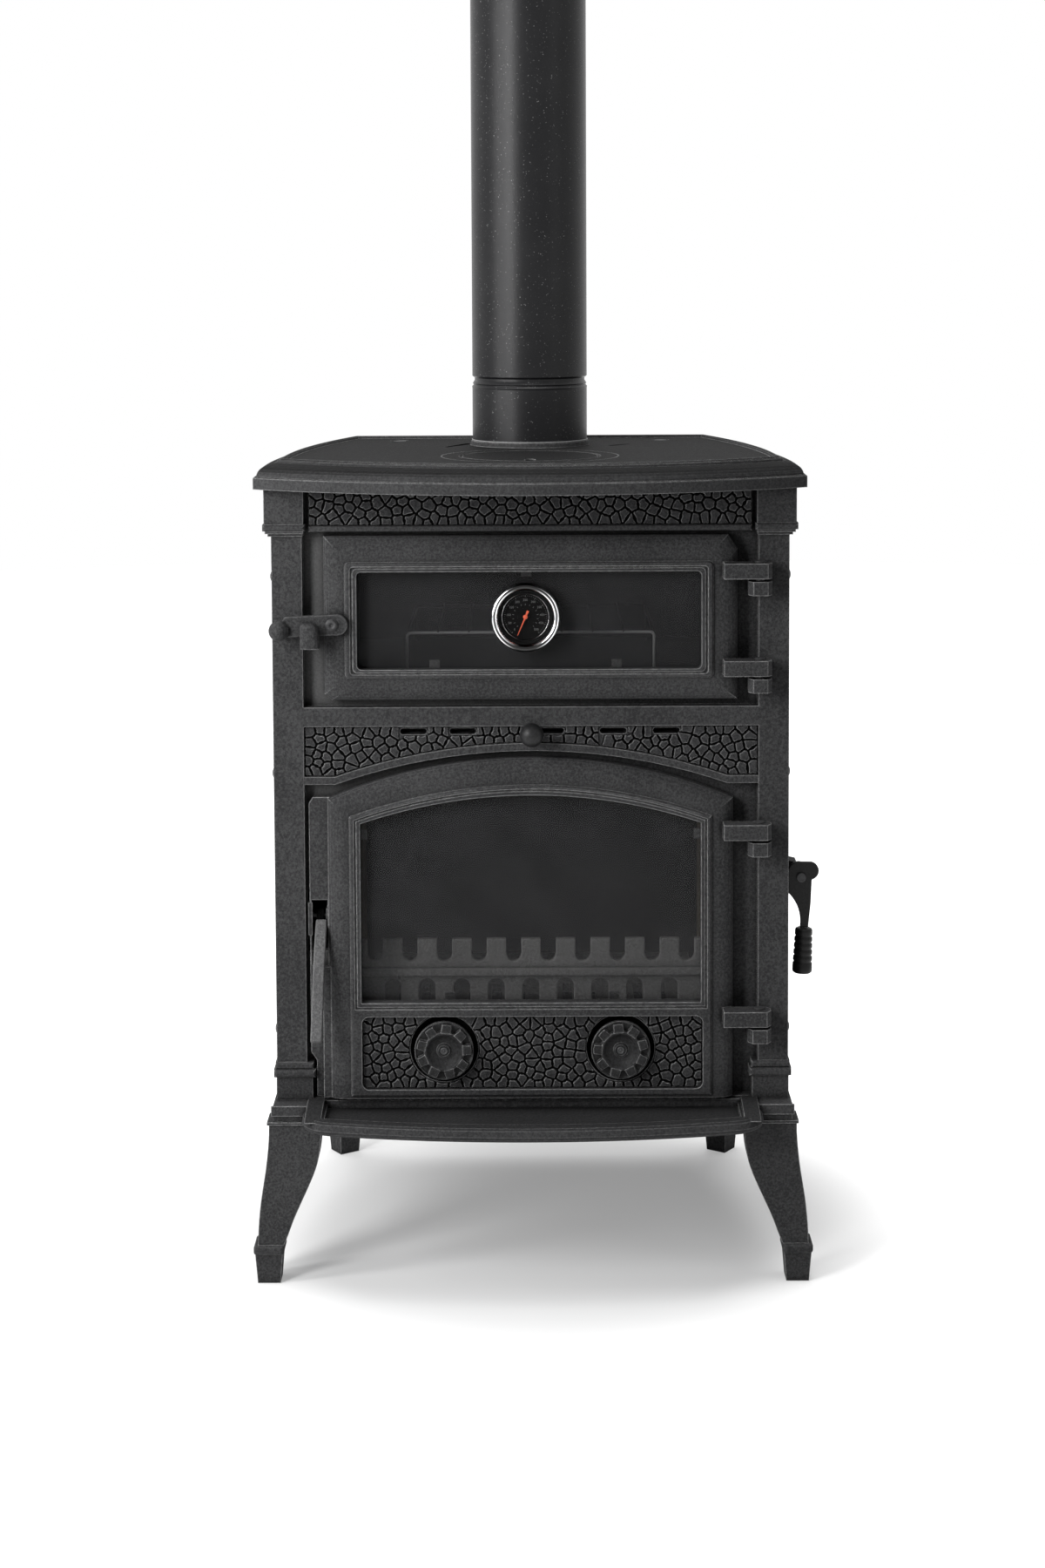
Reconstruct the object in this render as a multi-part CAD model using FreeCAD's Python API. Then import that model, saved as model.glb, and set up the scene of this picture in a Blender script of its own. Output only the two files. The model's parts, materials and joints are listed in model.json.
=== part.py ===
"""Small cast iron range cooker on four legs: an oven chamber over a firebox.

All sizes are in millimetres.  X runs to the right as seen from the front,
Y runs from the front to the back and Z runs up from the floor.  The front
is built in depths behind the face of the two pillars, which depth() turns
into Y, so a negative depth stands proud of the pillars.
"""
import FreeCAD, Part
import math
import os

os.makedirs("parts", exist_ok=True)

# ---------------------------------------------------------------- driving sizes
FACE_Y = -150.0                 # Y of the front face of the pillars
PILLAR_OUT = 249.5              # half-width over the pillars
PILLAR_IN = 220.0               # half-width between the pillars
RECESS = 12.0                   # the door recess lies this far behind the pillars
FRAME_BACK = 24.0               # depth of the back of the front casting
FRIEZE_HALF = 213.4             # the frieze stops short of the pillars' capitals
BACK_DEPTH = 350.0              # depth of the outside of the back panel
BOW = 0.000494                  # how fast the sides draw in, per mm, squared
PANEL = 8.0                     # wall of the side and back panels

BASE_LOW = 161.0                # underside of the base plate, top of the legs
BASE_TOP = 177.0
PANEL_LOW = 177.0
PANEL_TOP = 776.5               # the top plate rests here
PLATE_TOP = 801.5               # cooking surface

LIP_HALF = 265.5                # half-width over the lip of the top plate
LIP_CORNER = -8.0               # depth of its front corners
LIP_FRONT = -89.0               # depth of the middle of its bowed front
LIP_BACK = 363.0                # depth of its back edge
LIP_PROFILE = ((0.0, 0.0), (10.8, 0.0), (11.5, 0.8), (10.9, 2.0), (11.9, 3.0), (14.0, 3.3),
               (16.3, 4.2), (18.7, 6.0), (20.8, 9.0), (22.4, 13.0), (23.5, 17.5), (23.9, 19.2),
               (23.1, 20.4), (25.9, 21.6), (26.7, 22.8), (26.3, 23.8), (27.9, 25.0),
               (28.1, 26.6), (27.1, 28.4), (25.0, 29.5))

FLUE_DEPTH = 240.0
FLUE_R = 60.0                   # outside of a 120 mm stove pipe
FLUE_WALL = 2.0
FLUE_LENGTH = 500.0
FLUE_FLANGE = 5.0               # height of the ring that the pipe stands on
FLUE_FOOT_R = 62.8
FLUE_SPIGOT_R = FLUE_R - FLUE_WALL - 0.08
SWAGE_LOW = 864.0
SWAGE_HIGH = 874.0

LID_DEPTH = 78.0
LID_R = 88.0
LID_STEP_R = 80.0
LID_GAP = 0.5

OVEN_DOOR_HALF = 199.5
OVEN_DOOR_LOW = 571.0
OVEN_DOOR_HIGH = 731.0
OVEN_GLASS_HALF = 165.8         # sight size of the oven window
OVEN_GLASS_LOW = 602.0
OVEN_GLASS_HIGH = 696.5
OVEN_HOLE_HALF = 180.0          # opening in the front casting
OVEN_HOLE_LOW = 590.0
OVEN_HOLE_HIGH = 712.0

FIRE_DOOR_LEFT = -197.5
FIRE_DOOR_RIGHT = 195.5
FIRE_DOOR_LOW = 180.0
FIRE_DOOR_SPRING = 475.0        # height where its arch starts
FIRE_DOOR_CROWN = 514.7
FIRE_GLASS_HALF = 164.8
FIRE_GLASS_LOW = 275.5
FIRE_GLASS_SPRING = 452.0
FIRE_GLASS_CROWN = 479.5
FIRE_HOLE_HALF = 178.0
FIRE_HOLE_LOW = 186.0
FIRE_HOLE_SPRING = 450.0
FIRE_HOLE_CROWN = 488.0
WINDOW_SHIFT = -1.5             # both windows sit a little left of the middle

DOOR_FACE = -8.0                # depth of the front of the doors
DOOR_BACK = 9.0
ROLL_WIDE = 19.0                # the rolled edge of a door reaches this far in
ROLL_TALL = 10.0                # and falls this far back
OVEN_ROLL_BOTTOM = 16.0         # the oven door's lower roll is a little narrower
BEAD = 3.0                      # height of the window bead above the door
GLASS_FRONT = 2.0
GLASS_THICK = 4.0
SEAL_BACK = RECESS - 0.3

HINGE_X = 220.0
HINGE_DEPTH = -12.5
HINGE_R = 11.2                  # half-width of an eye or a knuckle
EYE_FLAT = 7.0                  # half-width of the flat on its front
EYE_FRONT = 11.6                # the flat lies this far in front of the pin
EYE_BACK = 8.0
HINGE_PIN_R = 4.0
PIN_HEAD_R = 5.0
PIN_HEAD_TALL = 1.6
STRAP_LEFT = 185.0
STRAP_TALL = 15.0
KNUCKLE_TALL = 13.5
KNUCKLE_DROP = 2.6              # gap between a strap and the knuckle under it
RUN_GAP = 0.06                  # radial clearance of a running fit
OVEN_STRAPS = (689.8, 596.0)    # undersides of the straps
FIRE_STRAPS = (437.0, 254.0)

RAIL_LOW = 545.0
RAIL_HIGH = 564.0
ARCH_FLAT = 190.0               # half-width where the spandrel arch starts
ARCH_LOW = 488.5
ARCH_CROWN = 520.8
SLOT_LOW = 536.8
SLOT_HIGH = 542.6
SLOTS = ((-127.0, -101.0), (-79.0, -53.0), (66.5, 92.5), (118.0, 144.0))
STEM_SLOT = (-3.0, 32.0)

AIR_X = 85.8
AIR_Z = 229.3
AIR_SEAT_R = 33.0
AIR_KNOB_R = 28.7
AIR_RIM_R = 19.5
AIR_LUG_R = 26.5

LEG_THICK = 26.0
TOE_MIDDLE = 27.1               # the toe stands this far out from the top of the leg
TOE_WIDE = 22.1                 # width of the foot on the floor
LEG_TOP_X = 230.75
LEG_FRONT_DEPTH = -5.0
REAR_LEG_X = 195.6
REAR_LEG_DEPTH = 343.0
REAR_LEG_TURN = 56.2            # degrees that a rear leg is turned backwards

SIDE_DOOR_FRONT = 58.0
SIDE_DOOR_BACK = 265.0
SIDE_DOOR_LOW = 245.0
SIDE_DOOR_HIGH = 500.0
SIDE_DOOR_THICK = 6.0
SIDE_HINGE_X = 232.5
SIDE_HINGE_DEPTH = 273.0
LEVER_X = 266.0
LEVER_Z = 386.0
LEVER_DEPTH = 40.0
GRIP_TOP = 335.0                # the lever ends here, on top of its grip
GRIP_TALL = 45.0
SIDE_STRAPS = (285.0, 440.0)    # undersides of the side door's eyes
SIDE_STRAP_TALL = 14.0
SIDE_PIN_R = 3.0
SIDE_RIVET_R = 2.5

THERMO_X = -5.0
THERMO_Z = 652.4
THERMO_STEM_R = 4.2
LATCH_X = -190.8                # pivot of the oven latch
LATCH_Z = 646.7
LATCH_SCREW_R = 3.0
BALL_X = 0.6                    # middle of the airwash ball and its stem
STEM_Z = 539.7
STEM_R = 2.2
CATCH_LEFT = -214.4             # slot that the fire door's lever works in
CATCH_RIGHT = -198.6
CATCH_LOW = 310.0
CATCH_HIGH = 374.8
CATCH_PIN_Z = 357.0
CATCH_PIN_DEPTH = 14.0
CATCH_PIN_R = 2.5
AIR_STUD_R = 4.0
ROD_X = 140.0                   # the two tie rods
ROD_DEPTH = 303.0
ROD_R = 4.0
BOLT_HEIGHTS = (239.0, 494.0, 688.0)

UP = FreeCAD.Vector(0, 0, 1)
BACKWARDS = FreeCAD.Vector(0, 1, 0)
RIGHTWARDS = FreeCAD.Vector(1, 0, 0)


# ---------------------------------------------------------------- helpers
def depth(behind):
    """Y of a plane that lies this far behind the face of the pillars."""
    return FACE_Y + behind


def side_x(behind):
    """Half-width of the body at a depth: the sides are bowed."""
    return PILLAR_OUT - BOW * (behind - 15.0) ** 2


def block(x0, x1, d0, d1, z0, z1):
    """Box between two X, two depths and two heights."""
    corner = FreeCAD.Vector(x0, depth(d0), z0)
    return Part.makeBox(x1 - x0, d1 - d0, z1 - z0, corner)


def tube_y(x, z, radius, d0, d1):
    """Round bar that runs from front to back."""
    return Part.makeCylinder(radius, d1 - d0, FreeCAD.Vector(x, depth(d0), z), BACKWARDS)


def tube_z(x, behind, radius, z0, z1):
    """Upright round bar."""
    return Part.makeCylinder(radius, z1 - z0, FreeCAD.Vector(x, depth(behind), z0), UP)


def tube_x(behind, z, radius, x0, x1):
    """Round bar that runs from side to side."""
    return Part.makeCylinder(radius, x1 - x0, FreeCAD.Vector(x0, depth(behind), z), RIGHTWARDS)


def ring_z(x, behind, outer, inner, z0, z1):
    """Upright ring or pipe."""
    return tube_z(x, behind, outer, z0, z1).cut(tube_z(x, behind, inner, z0 - 1, z1 + 1))


def loop(points, place):
    """Closed wire through points; a point marked "arc" is the middle of an arc."""
    edges = []
    count = len(points)
    index = 0
    while index < count:
        start = place(*points[index])
        middle = points[(index + 1) % count]
        if len(middle) == 3:
            end = place(*points[(index + 2) % count])
            edges.append(Part.Arc(start, place(*middle[:2]), end).toShape())
            index += 2
        else:
            edges.append(Part.makeLine(start, place(*middle)))
            index += 1
    return Part.Wire(edges)


def front_shape(points, d0, d1):
    """Outline drawn on the front (X, Z), given a thickness in depth."""
    wire = loop(points, lambda x, z: FreeCAD.Vector(x, depth(d0), z))
    return Part.Face(wire).extrude(FreeCAD.Vector(0, d1 - d0, 0))


def plan_wire(points, z):
    """Outline seen from above (X, depth) at one height."""
    return loop(points, lambda x, behind: FreeCAD.Vector(x, depth(behind), z))


def plan_shape(points, z0, z1):
    """Outline seen from above, given a height."""
    return Part.Face(plan_wire(points, z0)).extrude(FreeCAD.Vector(0, 0, z1 - z0))


def side_shape(points, x0, x1):
    """Outline seen from the side (depth, Z), given a width."""
    wire = loop(points, lambda behind, z: FreeCAD.Vector(x0, depth(behind), z))
    return Part.Face(wire).extrude(FreeCAD.Vector(x1 - x0, 0, 0))


def join(shapes):
    """Fuse shapes into one clean solid."""
    return shapes[0].multiFuse(shapes[1:]).removeSplitter()


def mirror_x(shape):
    """The same shape on the other side of the middle."""
    return shape.mirror(FreeCAD.Vector(0, 0, 0), RIGHTWARDS)


def arched(left, right, low, spring, crown):
    """Outline of an opening or door with an arched head."""
    return [(left, low), (left, spring), ((left + right) / 2, crown, "arc"),
            (right, spring), (right, low)]


def stadium(x0, x1, z0, z1):
    """Outline of a slot with round ends."""
    half = (z1 - z0) / 2
    middle = (z0 + z1) / 2
    return [(x0 + half, z1), (x1 - half, z1), (x1, middle, "arc"), (x1 - half, z0),
            (x0 + half, z0), (x0, middle, "arc")]


def edges_on_face_plane(shape, behind, outside):
    """Edges that lie in one depth plane and pass a test on their middle."""
    found = []
    for edge in shape.Edges:
        box = edge.BoundBox
        flat = abs(box.YMin - depth(behind)) < 0.01 and abs(box.YMax - depth(behind)) < 0.01
        if flat and outside(edge):
            found.append(edge)
    return found


def round_corners(shape, radius):
    """Round the four edges of a block that run from front to back."""
    corners = [edge for edge in shape.Edges
               if edge.BoundBox.XLength < 0.01 and edge.BoundBox.ZLength < 0.01]
    return shape.makeFillet(radius, corners)


def save(shape, name):
    """Write one piece."""
    shape.exportStep("parts/" + name + ".step")


# ---------------------------------------------------------------- outer body
def lip_outline(inset):
    """Plan of the top plate: bowed front, curved sides, straight back."""
    half = LIP_HALF - inset
    front = LIP_CORNER + inset
    back = LIP_BACK - inset
    middle = (front + back) / 2

    def edge(behind):
        return half - BOW * (behind - 15.0) ** 2

    return [(-half, front), (0, LIP_FRONT + inset, "arc"), (half, front),
            (edge(middle), middle, "arc"), (edge(back), back),
            (-edge(back), back), (-edge(middle), middle, "arc")]


def top_plate():
    """Cast top with a moulded lip and a low rim, a flue hole and a seat for the round lid."""
    wires = [plan_wire(lip_outline(inset), PANEL_TOP + rise) for rise, inset in LIP_PROFILE]
    body = Part.makeLoft(wires, True, True)
    pocket = plan_shape(lip_outline(36.0), PANEL_TOP - 1, PLATE_TOP - 9.0)
    flue = tube_z(0, FLUE_DEPTH, FLUE_R - 4, PANEL_TOP, PLATE_TOP + 1)
    hole = tube_z(0, LID_DEPTH, LID_STEP_R, PANEL_TOP, PLATE_TOP + 1)
    seat = tube_z(0, LID_DEPTH, LID_R, PLATE_TOP - 5.0, PLATE_TOP + 1)
    body = body.cut(pocket).cut(flue).cut(hole).cut(seat)
    for x in (-ROD_X, ROD_X):
        body = body.cut(tube_z(x, ROD_DEPTH, ROD_R + 0.2, PANEL_TOP, PLATE_TOP + 1))
        body = body.cut(tube_z(x, ROD_DEPTH, 9.0, PLATE_TOP - 4.0, PLATE_TOP + 1))
    return body


def hob_lid():
    """Round lid that lifts out, with a blind keyhole for its lifter."""
    rim = tube_z(0, LID_DEPTH, LID_R - LID_GAP, PLATE_TOP - 5.0, PLATE_TOP)
    spigot = tube_z(0, LID_DEPTH, LID_STEP_R - LID_GAP, PLATE_TOP - 12.0, PLATE_TOP - 5.0)
    groove = ring_z(0, LID_DEPTH, 70.0, 67.0, PLATE_TOP - 1.0, PLATE_TOP + 1)
    keyhole = plan_shape([(-5, 30), (-5, 18), (0, 13, "arc"), (5, 18), (5, 30),
                          (0, 35, "arc")], PLATE_TOP - 6.0, PLATE_TOP + 1)
    return join([rim, spigot]).cut(groove).cut(keyhole)


def side_wall(sign, opening):
    """One bowed side panel."""
    middle = (FRAME_BACK + BACK_DEPTH) / 2
    back = BACK_DEPTH - PANEL
    outline = [(side_x(FRAME_BACK), FRAME_BACK), (side_x(middle), middle, "arc"),
               (side_x(back), back), (side_x(back) - PANEL, back),
               (side_x(middle) - PANEL, middle, "arc"), (side_x(FRAME_BACK) - PANEL, FRAME_BACK)]
    panel = plan_shape(outline, PANEL_LOW, PANEL_TOP)
    rib = block(side_x(60) - PANEL - 10, side_x(60) - PANEL + 2, 30, 90, 736, 744)
    panel = join([panel, rib])
    if opening:
        panel = panel.cut(block(180, 270, SIDE_DOOR_FRONT + 22, SIDE_DOOR_BACK - 20,
                                SIDE_DOOR_LOW + 22, SIDE_DOOR_HIGH - 22))
    return panel if sign > 0 else mirror_x(panel)


def back_panel():
    """Flat back with two shallow ribs."""
    half = side_x(BACK_DEPTH)
    sheet = block(-half, half, BACK_DEPTH - PANEL, BACK_DEPTH, PANEL_LOW, PANEL_TOP)
    ribs = [block(-half + 25, half - 25, BACK_DEPTH, BACK_DEPTH + 3, z, z + 10) for z in (330, 620)]
    frame = block(-half + 15, half - 15, BACK_DEPTH, BACK_DEPTH + 2, 200, 750)
    hollow = block(-half + 25, half - 25, BACK_DEPTH, BACK_DEPTH + 5, 210, 740)
    return join([sheet, frame.cut(hollow)] + ribs)


def base_plate():
    """Floor of the stove, with corner pads that the legs bolt to."""
    half = 252.3
    middle = (FRAME_BACK + BACK_DEPTH) / 2
    outline = [(-half, -18), (-219, -18), (-219, -2), (219, -2), (219, -18), (half, -18),
               (half, FRAME_BACK), (side_x(middle) + 2, middle, "arc"),
               (side_x(BACK_DEPTH) + 2, BACK_DEPTH + 2), (-side_x(BACK_DEPTH) - 2, BACK_DEPTH + 2),
               (-side_x(middle) - 2, middle, "arc"), (-half, FRAME_BACK)]
    plate = plan_shape(outline, BASE_LOW, BASE_TOP)
    pads = [tube_z(sign * REAR_LEG_X, REAR_LEG_DEPTH, 26.0, BASE_LOW, BASE_TOP - 2)
            for sign in (-1, 1)]
    ledge = [block(sign * 236.6 - 17.4, sign * 236.6 + 17.4, -20, -18, BASE_LOW + 6, BASE_TOP)
             for sign in (-1, 1)]
    runners = [block(x - 6, x + 6, 30, 300, BASE_TOP, FIRE_HOLE_LOW) for x in (-120.0, 120.0)]
    return join([plate] + pads + ledge + runners)


def hearth():
    """Bowed ash lip with a rounded rim and turned-up ends, in front of the base."""
    def rim(inset):
        return [(-222.4 + inset, -20.0), (-216.2 + inset, -48.0 + inset * 0.7, "arc"),
                (-196.5 + inset * 0.5, -60.0 + inset), (0, -80.0 + inset, "arc"),
                (196.5 - inset * 0.5, -60.0 + inset), (216.2 - inset, -48.0 + inset * 0.7, "arc"),
                (222.4 - inset, -20.0)]

    profile = ((159.0, 5.0), (161.5, 1.5), (165.0, 0.0), (171.0, 1.0), (173.0, 3.0), (173.5, 6.0))
    shelf = Part.makeLoft([plan_wire(rim(inset), z) for z, inset in profile], True, True)
    root = block(-219.0, 219.0, -21.0, -2.3, 159.0, 173.5)
    root = root.cut(block(-219.1, 219.1, -22.0, -20.0, 158.0, 174.0))
    shelf = join([shelf, root])
    dish = [(-200.0, -2.0), (-200.0, -46.0), (0, -66.0, "arc"), (200.0, -46.0), (200.0, -2.0)]
    shelf = shelf.cut(plan_shape(dish, 169.5, 175))
    shelf = shelf.cut(block(-230, 230, -20.5, 0, 158.0, BASE_LOW + 0.1))
    ears = []
    for sign in (-1, 1):
        side = [(-2.3, 171.0), (-54.0, 171.0), (-44.0, 174.8, "arc"), (-30.0, 176.6),
                (-16.0, 178.6, "arc"), (-2.3, 179.3)]
        ear = side_shape(side, 203.0, 218.9)
        ears.append(ear if sign > 0 else mirror_x(ear))
    return join([shelf] + ears)


def leg_shape():
    """One S-curved leg: outward along +X, thick along Y, top at BASE_LOW."""
    outer = [(25.75, 161.0), (26.75, 135.0), (29.75, 110.0), (33.75, 85.0), (36.45, 60.0),
             (37.45, 38.0)]
    inner = [(-25.75, 161.0), (-24.55, 142.0), (-21.25, 120.0), (-14.75, 102.0), (-5.75, 82.0),
             (3.75, 60.0), (9.75, 44.0), (12.5, 38.0)]
    half = LEG_THICK / 2

    def curve(points):
        spline = Part.BSplineCurve()
        spline.interpolate([FreeCAD.Vector(x, -half, z) for x, z in points])
        return spline.toShape()

    def flat(start, end):
        return Part.makeLine(FreeCAD.Vector(start[0], -half, start[1]),
                             FreeCAD.Vector(end[0], -half, end[1]))

    def rectangle_at(wide, thick, z):
        corners = [(-0.5, -0.5), (0.5, -0.5), (0.5, 0.5), (-0.5, 0.5), (-0.5, -0.5)]
        return Part.makePolygon([FreeCAD.Vector(TOE_MIDDLE + a * wide, b * thick, z) for a, b in corners])

    wire = Part.Wire([curve(outer), flat(outer[-1], inner[-1]), curve(inner), flat(inner[0], outer[0])])
    shank = Part.Face(wire).extrude(FreeCAD.Vector(0, LEG_THICK, 0))
    bead = Part.makeBox(29.6, LEG_THICK + 6, 9.0, FreeCAD.Vector(12.2, -half - 3, 29.0))
    bead = bead.makeFillet(2.5, bead.Edges)
    toe = Part.makeLoft([rectangle_at(TOE_WIDE, LEG_THICK - 3.0, 0.0),
                         rectangle_at(TOE_WIDE + 4.9, LEG_THICK + 1.0, 31.0)], True, True)
    head = Part.makeBox(55.0, LEG_THICK + 4, 3.0, FreeCAD.Vector(-27.5, -half - 2, 158.0))
    return join([shank, bead, toe, head])


def leg(sign, rear):
    """A leg in its place."""
    shape = leg_shape()
    if rear:
        shape.rotate(FreeCAD.Vector(0, 0, 0), UP, REAR_LEG_TURN)
        shape.translate(FreeCAD.Vector(REAR_LEG_X, depth(REAR_LEG_DEPTH), 0))
    else:
        shape.translate(FreeCAD.Vector(LEG_TOP_X, depth(LEG_FRONT_DEPTH), 0))
    return shape if sign > 0 else mirror_x(shape)


# ---------------------------------------------------------------- front casting
def pillar():
    """Right-hand pillar with its capital, collar bands and foot block."""
    shaft = block(PILLAR_IN, PILLAR_OUT, 0, FRAME_BACK, BASE_TOP, PANEL_TOP)
    capital = block(218.0, 256.0, -4.0, FRAME_BACK, 742.0, PANEL_TOP)
    collar = block(216.5, 257.5, -6.5, FRAME_BACK, 735.6, 742.0)
    neck = block(218.0, 255.0, -4.8, FRAME_BACK, 733.2, 735.6)
    step = block(219.0, 252.5, -2.4, FRAME_BACK, 730.5, 733.2)
    lower_band = block(211.5, 252.5, -4.5, FRAME_BACK, 200.0, 208.0)
    lower_step = block(213.5, 251.0, -2.0, FRAME_BACK, 208.0, 214.5)
    foot = block(214.5, 250.0, -1.0, FRAME_BACK, BASE_TOP, 200.0)
    bands = [collar.makeFillet(3.0, edges_on_face_plane(collar, -6.5, lambda edge: True)),
             lower_band.makeFillet(3.0, edges_on_face_plane(lower_band, -4.5, lambda edge: True)),
             lower_step.makeFillet(1.9, edges_on_face_plane(lower_step, -2.0, lambda edge: True))]
    return join([shaft, capital, neck, step, foot] + bands)


def spandrel():
    """Rail over the fire door, and the panel between it and the arched bead."""
    rail = block(-PILLAR_IN, PILLAR_IN, 0, RECESS, RAIL_LOW, RAIL_HIGH)

    def arch(z_shift):
        return [(-PILLAR_IN, ARCH_LOW + z_shift), (-ARCH_FLAT, ARCH_LOW + z_shift),
                (0, ARCH_CROWN + z_shift, "arc"), (ARCH_FLAT, ARCH_LOW + z_shift),
                (PILLAR_IN, ARCH_LOW + z_shift)]

    panel = front_shape(arch(0) + [(PILLAR_IN, RAIL_LOW), (-PILLAR_IN, RAIL_LOW)], 4.0, RECESS)
    bead_low = front_shape(arch(0) + [(PILLAR_IN, RAIL_LOW), (-PILLAR_IN, RAIL_LOW)], 0.5, 4.0)
    bead_top = front_shape(arch(7.5) + [(PILLAR_IN, RAIL_LOW + 1), (-PILLAR_IN, RAIL_LOW + 1)],
                           0, 4.0)
    return [rail, panel, bead_low.cut(bead_top)]


def hinge_knuckles():
    """Bored lugs with chamfered corners, on the frame under the door straps."""
    lugs = []
    for strap_low in OVEN_STRAPS + FIRE_STRAPS:
        top = strap_low - KNUCKLE_DROP
        low = top - KNUCKLE_TALL
        right = eye_corners()
        left = [(2 * HINGE_X - x, behind) for x, behind in reversed(right)]
        barrel = plan_shape(right + left, low, top)
        web = block(HINGE_X - HINGE_R + 1, PILLAR_IN - 0.2, HINGE_DEPTH, RECESS, low, top)
        bore = tube_z(HINGE_X, HINGE_DEPTH, HINGE_PIN_R + RUN_GAP, low - 1, top + 1)
        lugs.append(join([barrel, web]).cut(bore))
    return Part.makeCompound(lugs)


def eye_corners():
    """Right-hand corners of an eye around the hinge pin, from the front to the back."""
    return [(HINGE_X + EYE_FLAT, HINGE_DEPTH - EYE_FRONT), (HINGE_X + HINGE_R, HINGE_DEPTH - 4.8),
            (HINGE_X + HINGE_R, HINGE_DEPTH + 2.0), (HINGE_X + EYE_BACK, HINGE_DEPTH + EYE_BACK)]


def latch_keeper():
    """Post that the oven latch drops behind."""
    foot = block(-219.0, -206.0, -19.5, RECESS, 617.0, 629.0)
    post = tube_z(-212.5, -19.5, 6.5, 617.0, 632.5)
    return join([foot, post])


def front_frame():
    """Front casting: pillars, frieze, rail and spandrel around two openings."""
    web = block(-PILLAR_OUT, PILLAR_OUT, RECESS, FRAME_BACK, BASE_TOP, PANEL_TOP)
    right = pillar()
    frieze = block(-FRIEZE_HALF, FRIEZE_HALF, 4.0, RECESS, 735.0, PANEL_TOP)
    frieze_bead = block(-FRIEZE_HALF, FRIEZE_HALF, -1.0, RECESS, 734.4, 740.2)
    frieze_bead = frieze_bead.makeFillet(2.0, edges_on_face_plane(frieze_bead, -1.0, lambda e: True))
    sill = block(-PILLAR_IN, PILLAR_IN, 2.0, RECESS, BASE_TOP, BASE_TOP + 2.0)
    pieces = [web, right, mirror_x(right), frieze, frieze_bead, sill] + spandrel()
    body = join(pieces)
    oven_hole = block(-OVEN_HOLE_HALF, OVEN_HOLE_HALF, -30, 40, OVEN_HOLE_LOW, OVEN_HOLE_HIGH)
    fire_hole = front_shape(arched(-FIRE_HOLE_HALF, FIRE_HOLE_HALF, FIRE_HOLE_LOW,
                                   FIRE_HOLE_SPRING, FIRE_HOLE_CROWN), 2.0, 40.0)
    catch_window = block(-219.0, -193.0, 5, 40, 322.0, 384.0)
    body = body.cut(oven_hole).cut(fire_hole).cut(catch_window)
    for x0, x1 in SLOTS + (STEM_SLOT,):
        body = body.cut(front_shape(stadium(x0, x1, SLOT_LOW, SLOT_HIGH), -5, 40))
    return body


# ---------------------------------------------------------------- doors
def hinge_strap(low, door_edge):
    """Strap that reaches from a door over its hinge pin."""
    top = low + STRAP_TALL
    front = HINGE_DEPTH - EYE_FRONT
    arm = plan_shape([(STRAP_LEFT, front)] + eye_corners() + [(STRAP_LEFT, HINGE_DEPTH + EYE_BACK)],
                     low, top)
    root = block(STRAP_LEFT, door_edge - 2, front, DOOR_BACK - 4, low, top)
    return join([arm, root]).cut(tube_z(HINGE_X, HINGE_DEPTH, HINGE_PIN_R, low - 1, top + 1))


def hinge_pins(straps):
    """Lift-off pins with low heads, fixed in the straps and loose in the knuckles."""
    shapes = []
    for low in straps:
        top = low + STRAP_TALL
        shank = tube_z(HINGE_X, HINGE_DEPTH, HINGE_PIN_R, low - KNUCKLE_DROP - KNUCKLE_TALL, top)
        head = tube_z(HINGE_X, HINGE_DEPTH, PIN_HEAD_R, top, top + PIN_HEAD_TALL)
        shapes.append(join([shank, head]))
    return Part.makeCompound(shapes)


def rolled_edge(section):
    """Front of a door whose edge rolls back in a quarter of an ellipse.

    section(inset) draws the outline at one distance in from the edge.
    """
    wires = []
    for degrees in range(0, 91, 15):
        turn = math.radians(degrees)
        behind = DOOR_FACE + ROLL_TALL * (1 - math.sin(turn))
        points = section(ROLL_WIDE * (1 - math.cos(turn)))
        wires.append(loop(points, lambda x, z, d=behind: FreeCAD.Vector(x, depth(d), z)))
    return Part.makeLoft(wires, True, True)


def oven_door_section(inset):
    """Outline of the oven door, with two corners cut off."""
    half = OVEN_DOOR_HALF - inset
    low = OVEN_DOOR_LOW + inset * OVEN_ROLL_BOTTOM / ROLL_WIDE
    high = OVEN_DOOR_HIGH - inset
    return [(-half, low + 6), (-half + 7, low), (half, low), (half, high - 14),
            (half - 9, high), (-half, high)]


def fire_door_section(inset):
    """Outline of the fire door: the roll runs up both sides and over the arch."""
    middle = (FIRE_DOOR_LEFT + FIRE_DOOR_RIGHT) / 2
    half = FIRE_DOOR_RIGHT - middle
    rise = FIRE_DOOR_CROWN - FIRE_DOOR_SPRING
    radius = (half ** 2 + rise ** 2) / (2 * rise)
    centre = FIRE_DOOR_CROWN - radius
    spring = centre + math.sqrt((radius - inset) ** 2 - (half - inset) ** 2)
    return arched(middle - half + inset, middle + half - inset, FIRE_DOOR_LOW, spring,
                  FIRE_DOOR_CROWN - inset)


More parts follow.
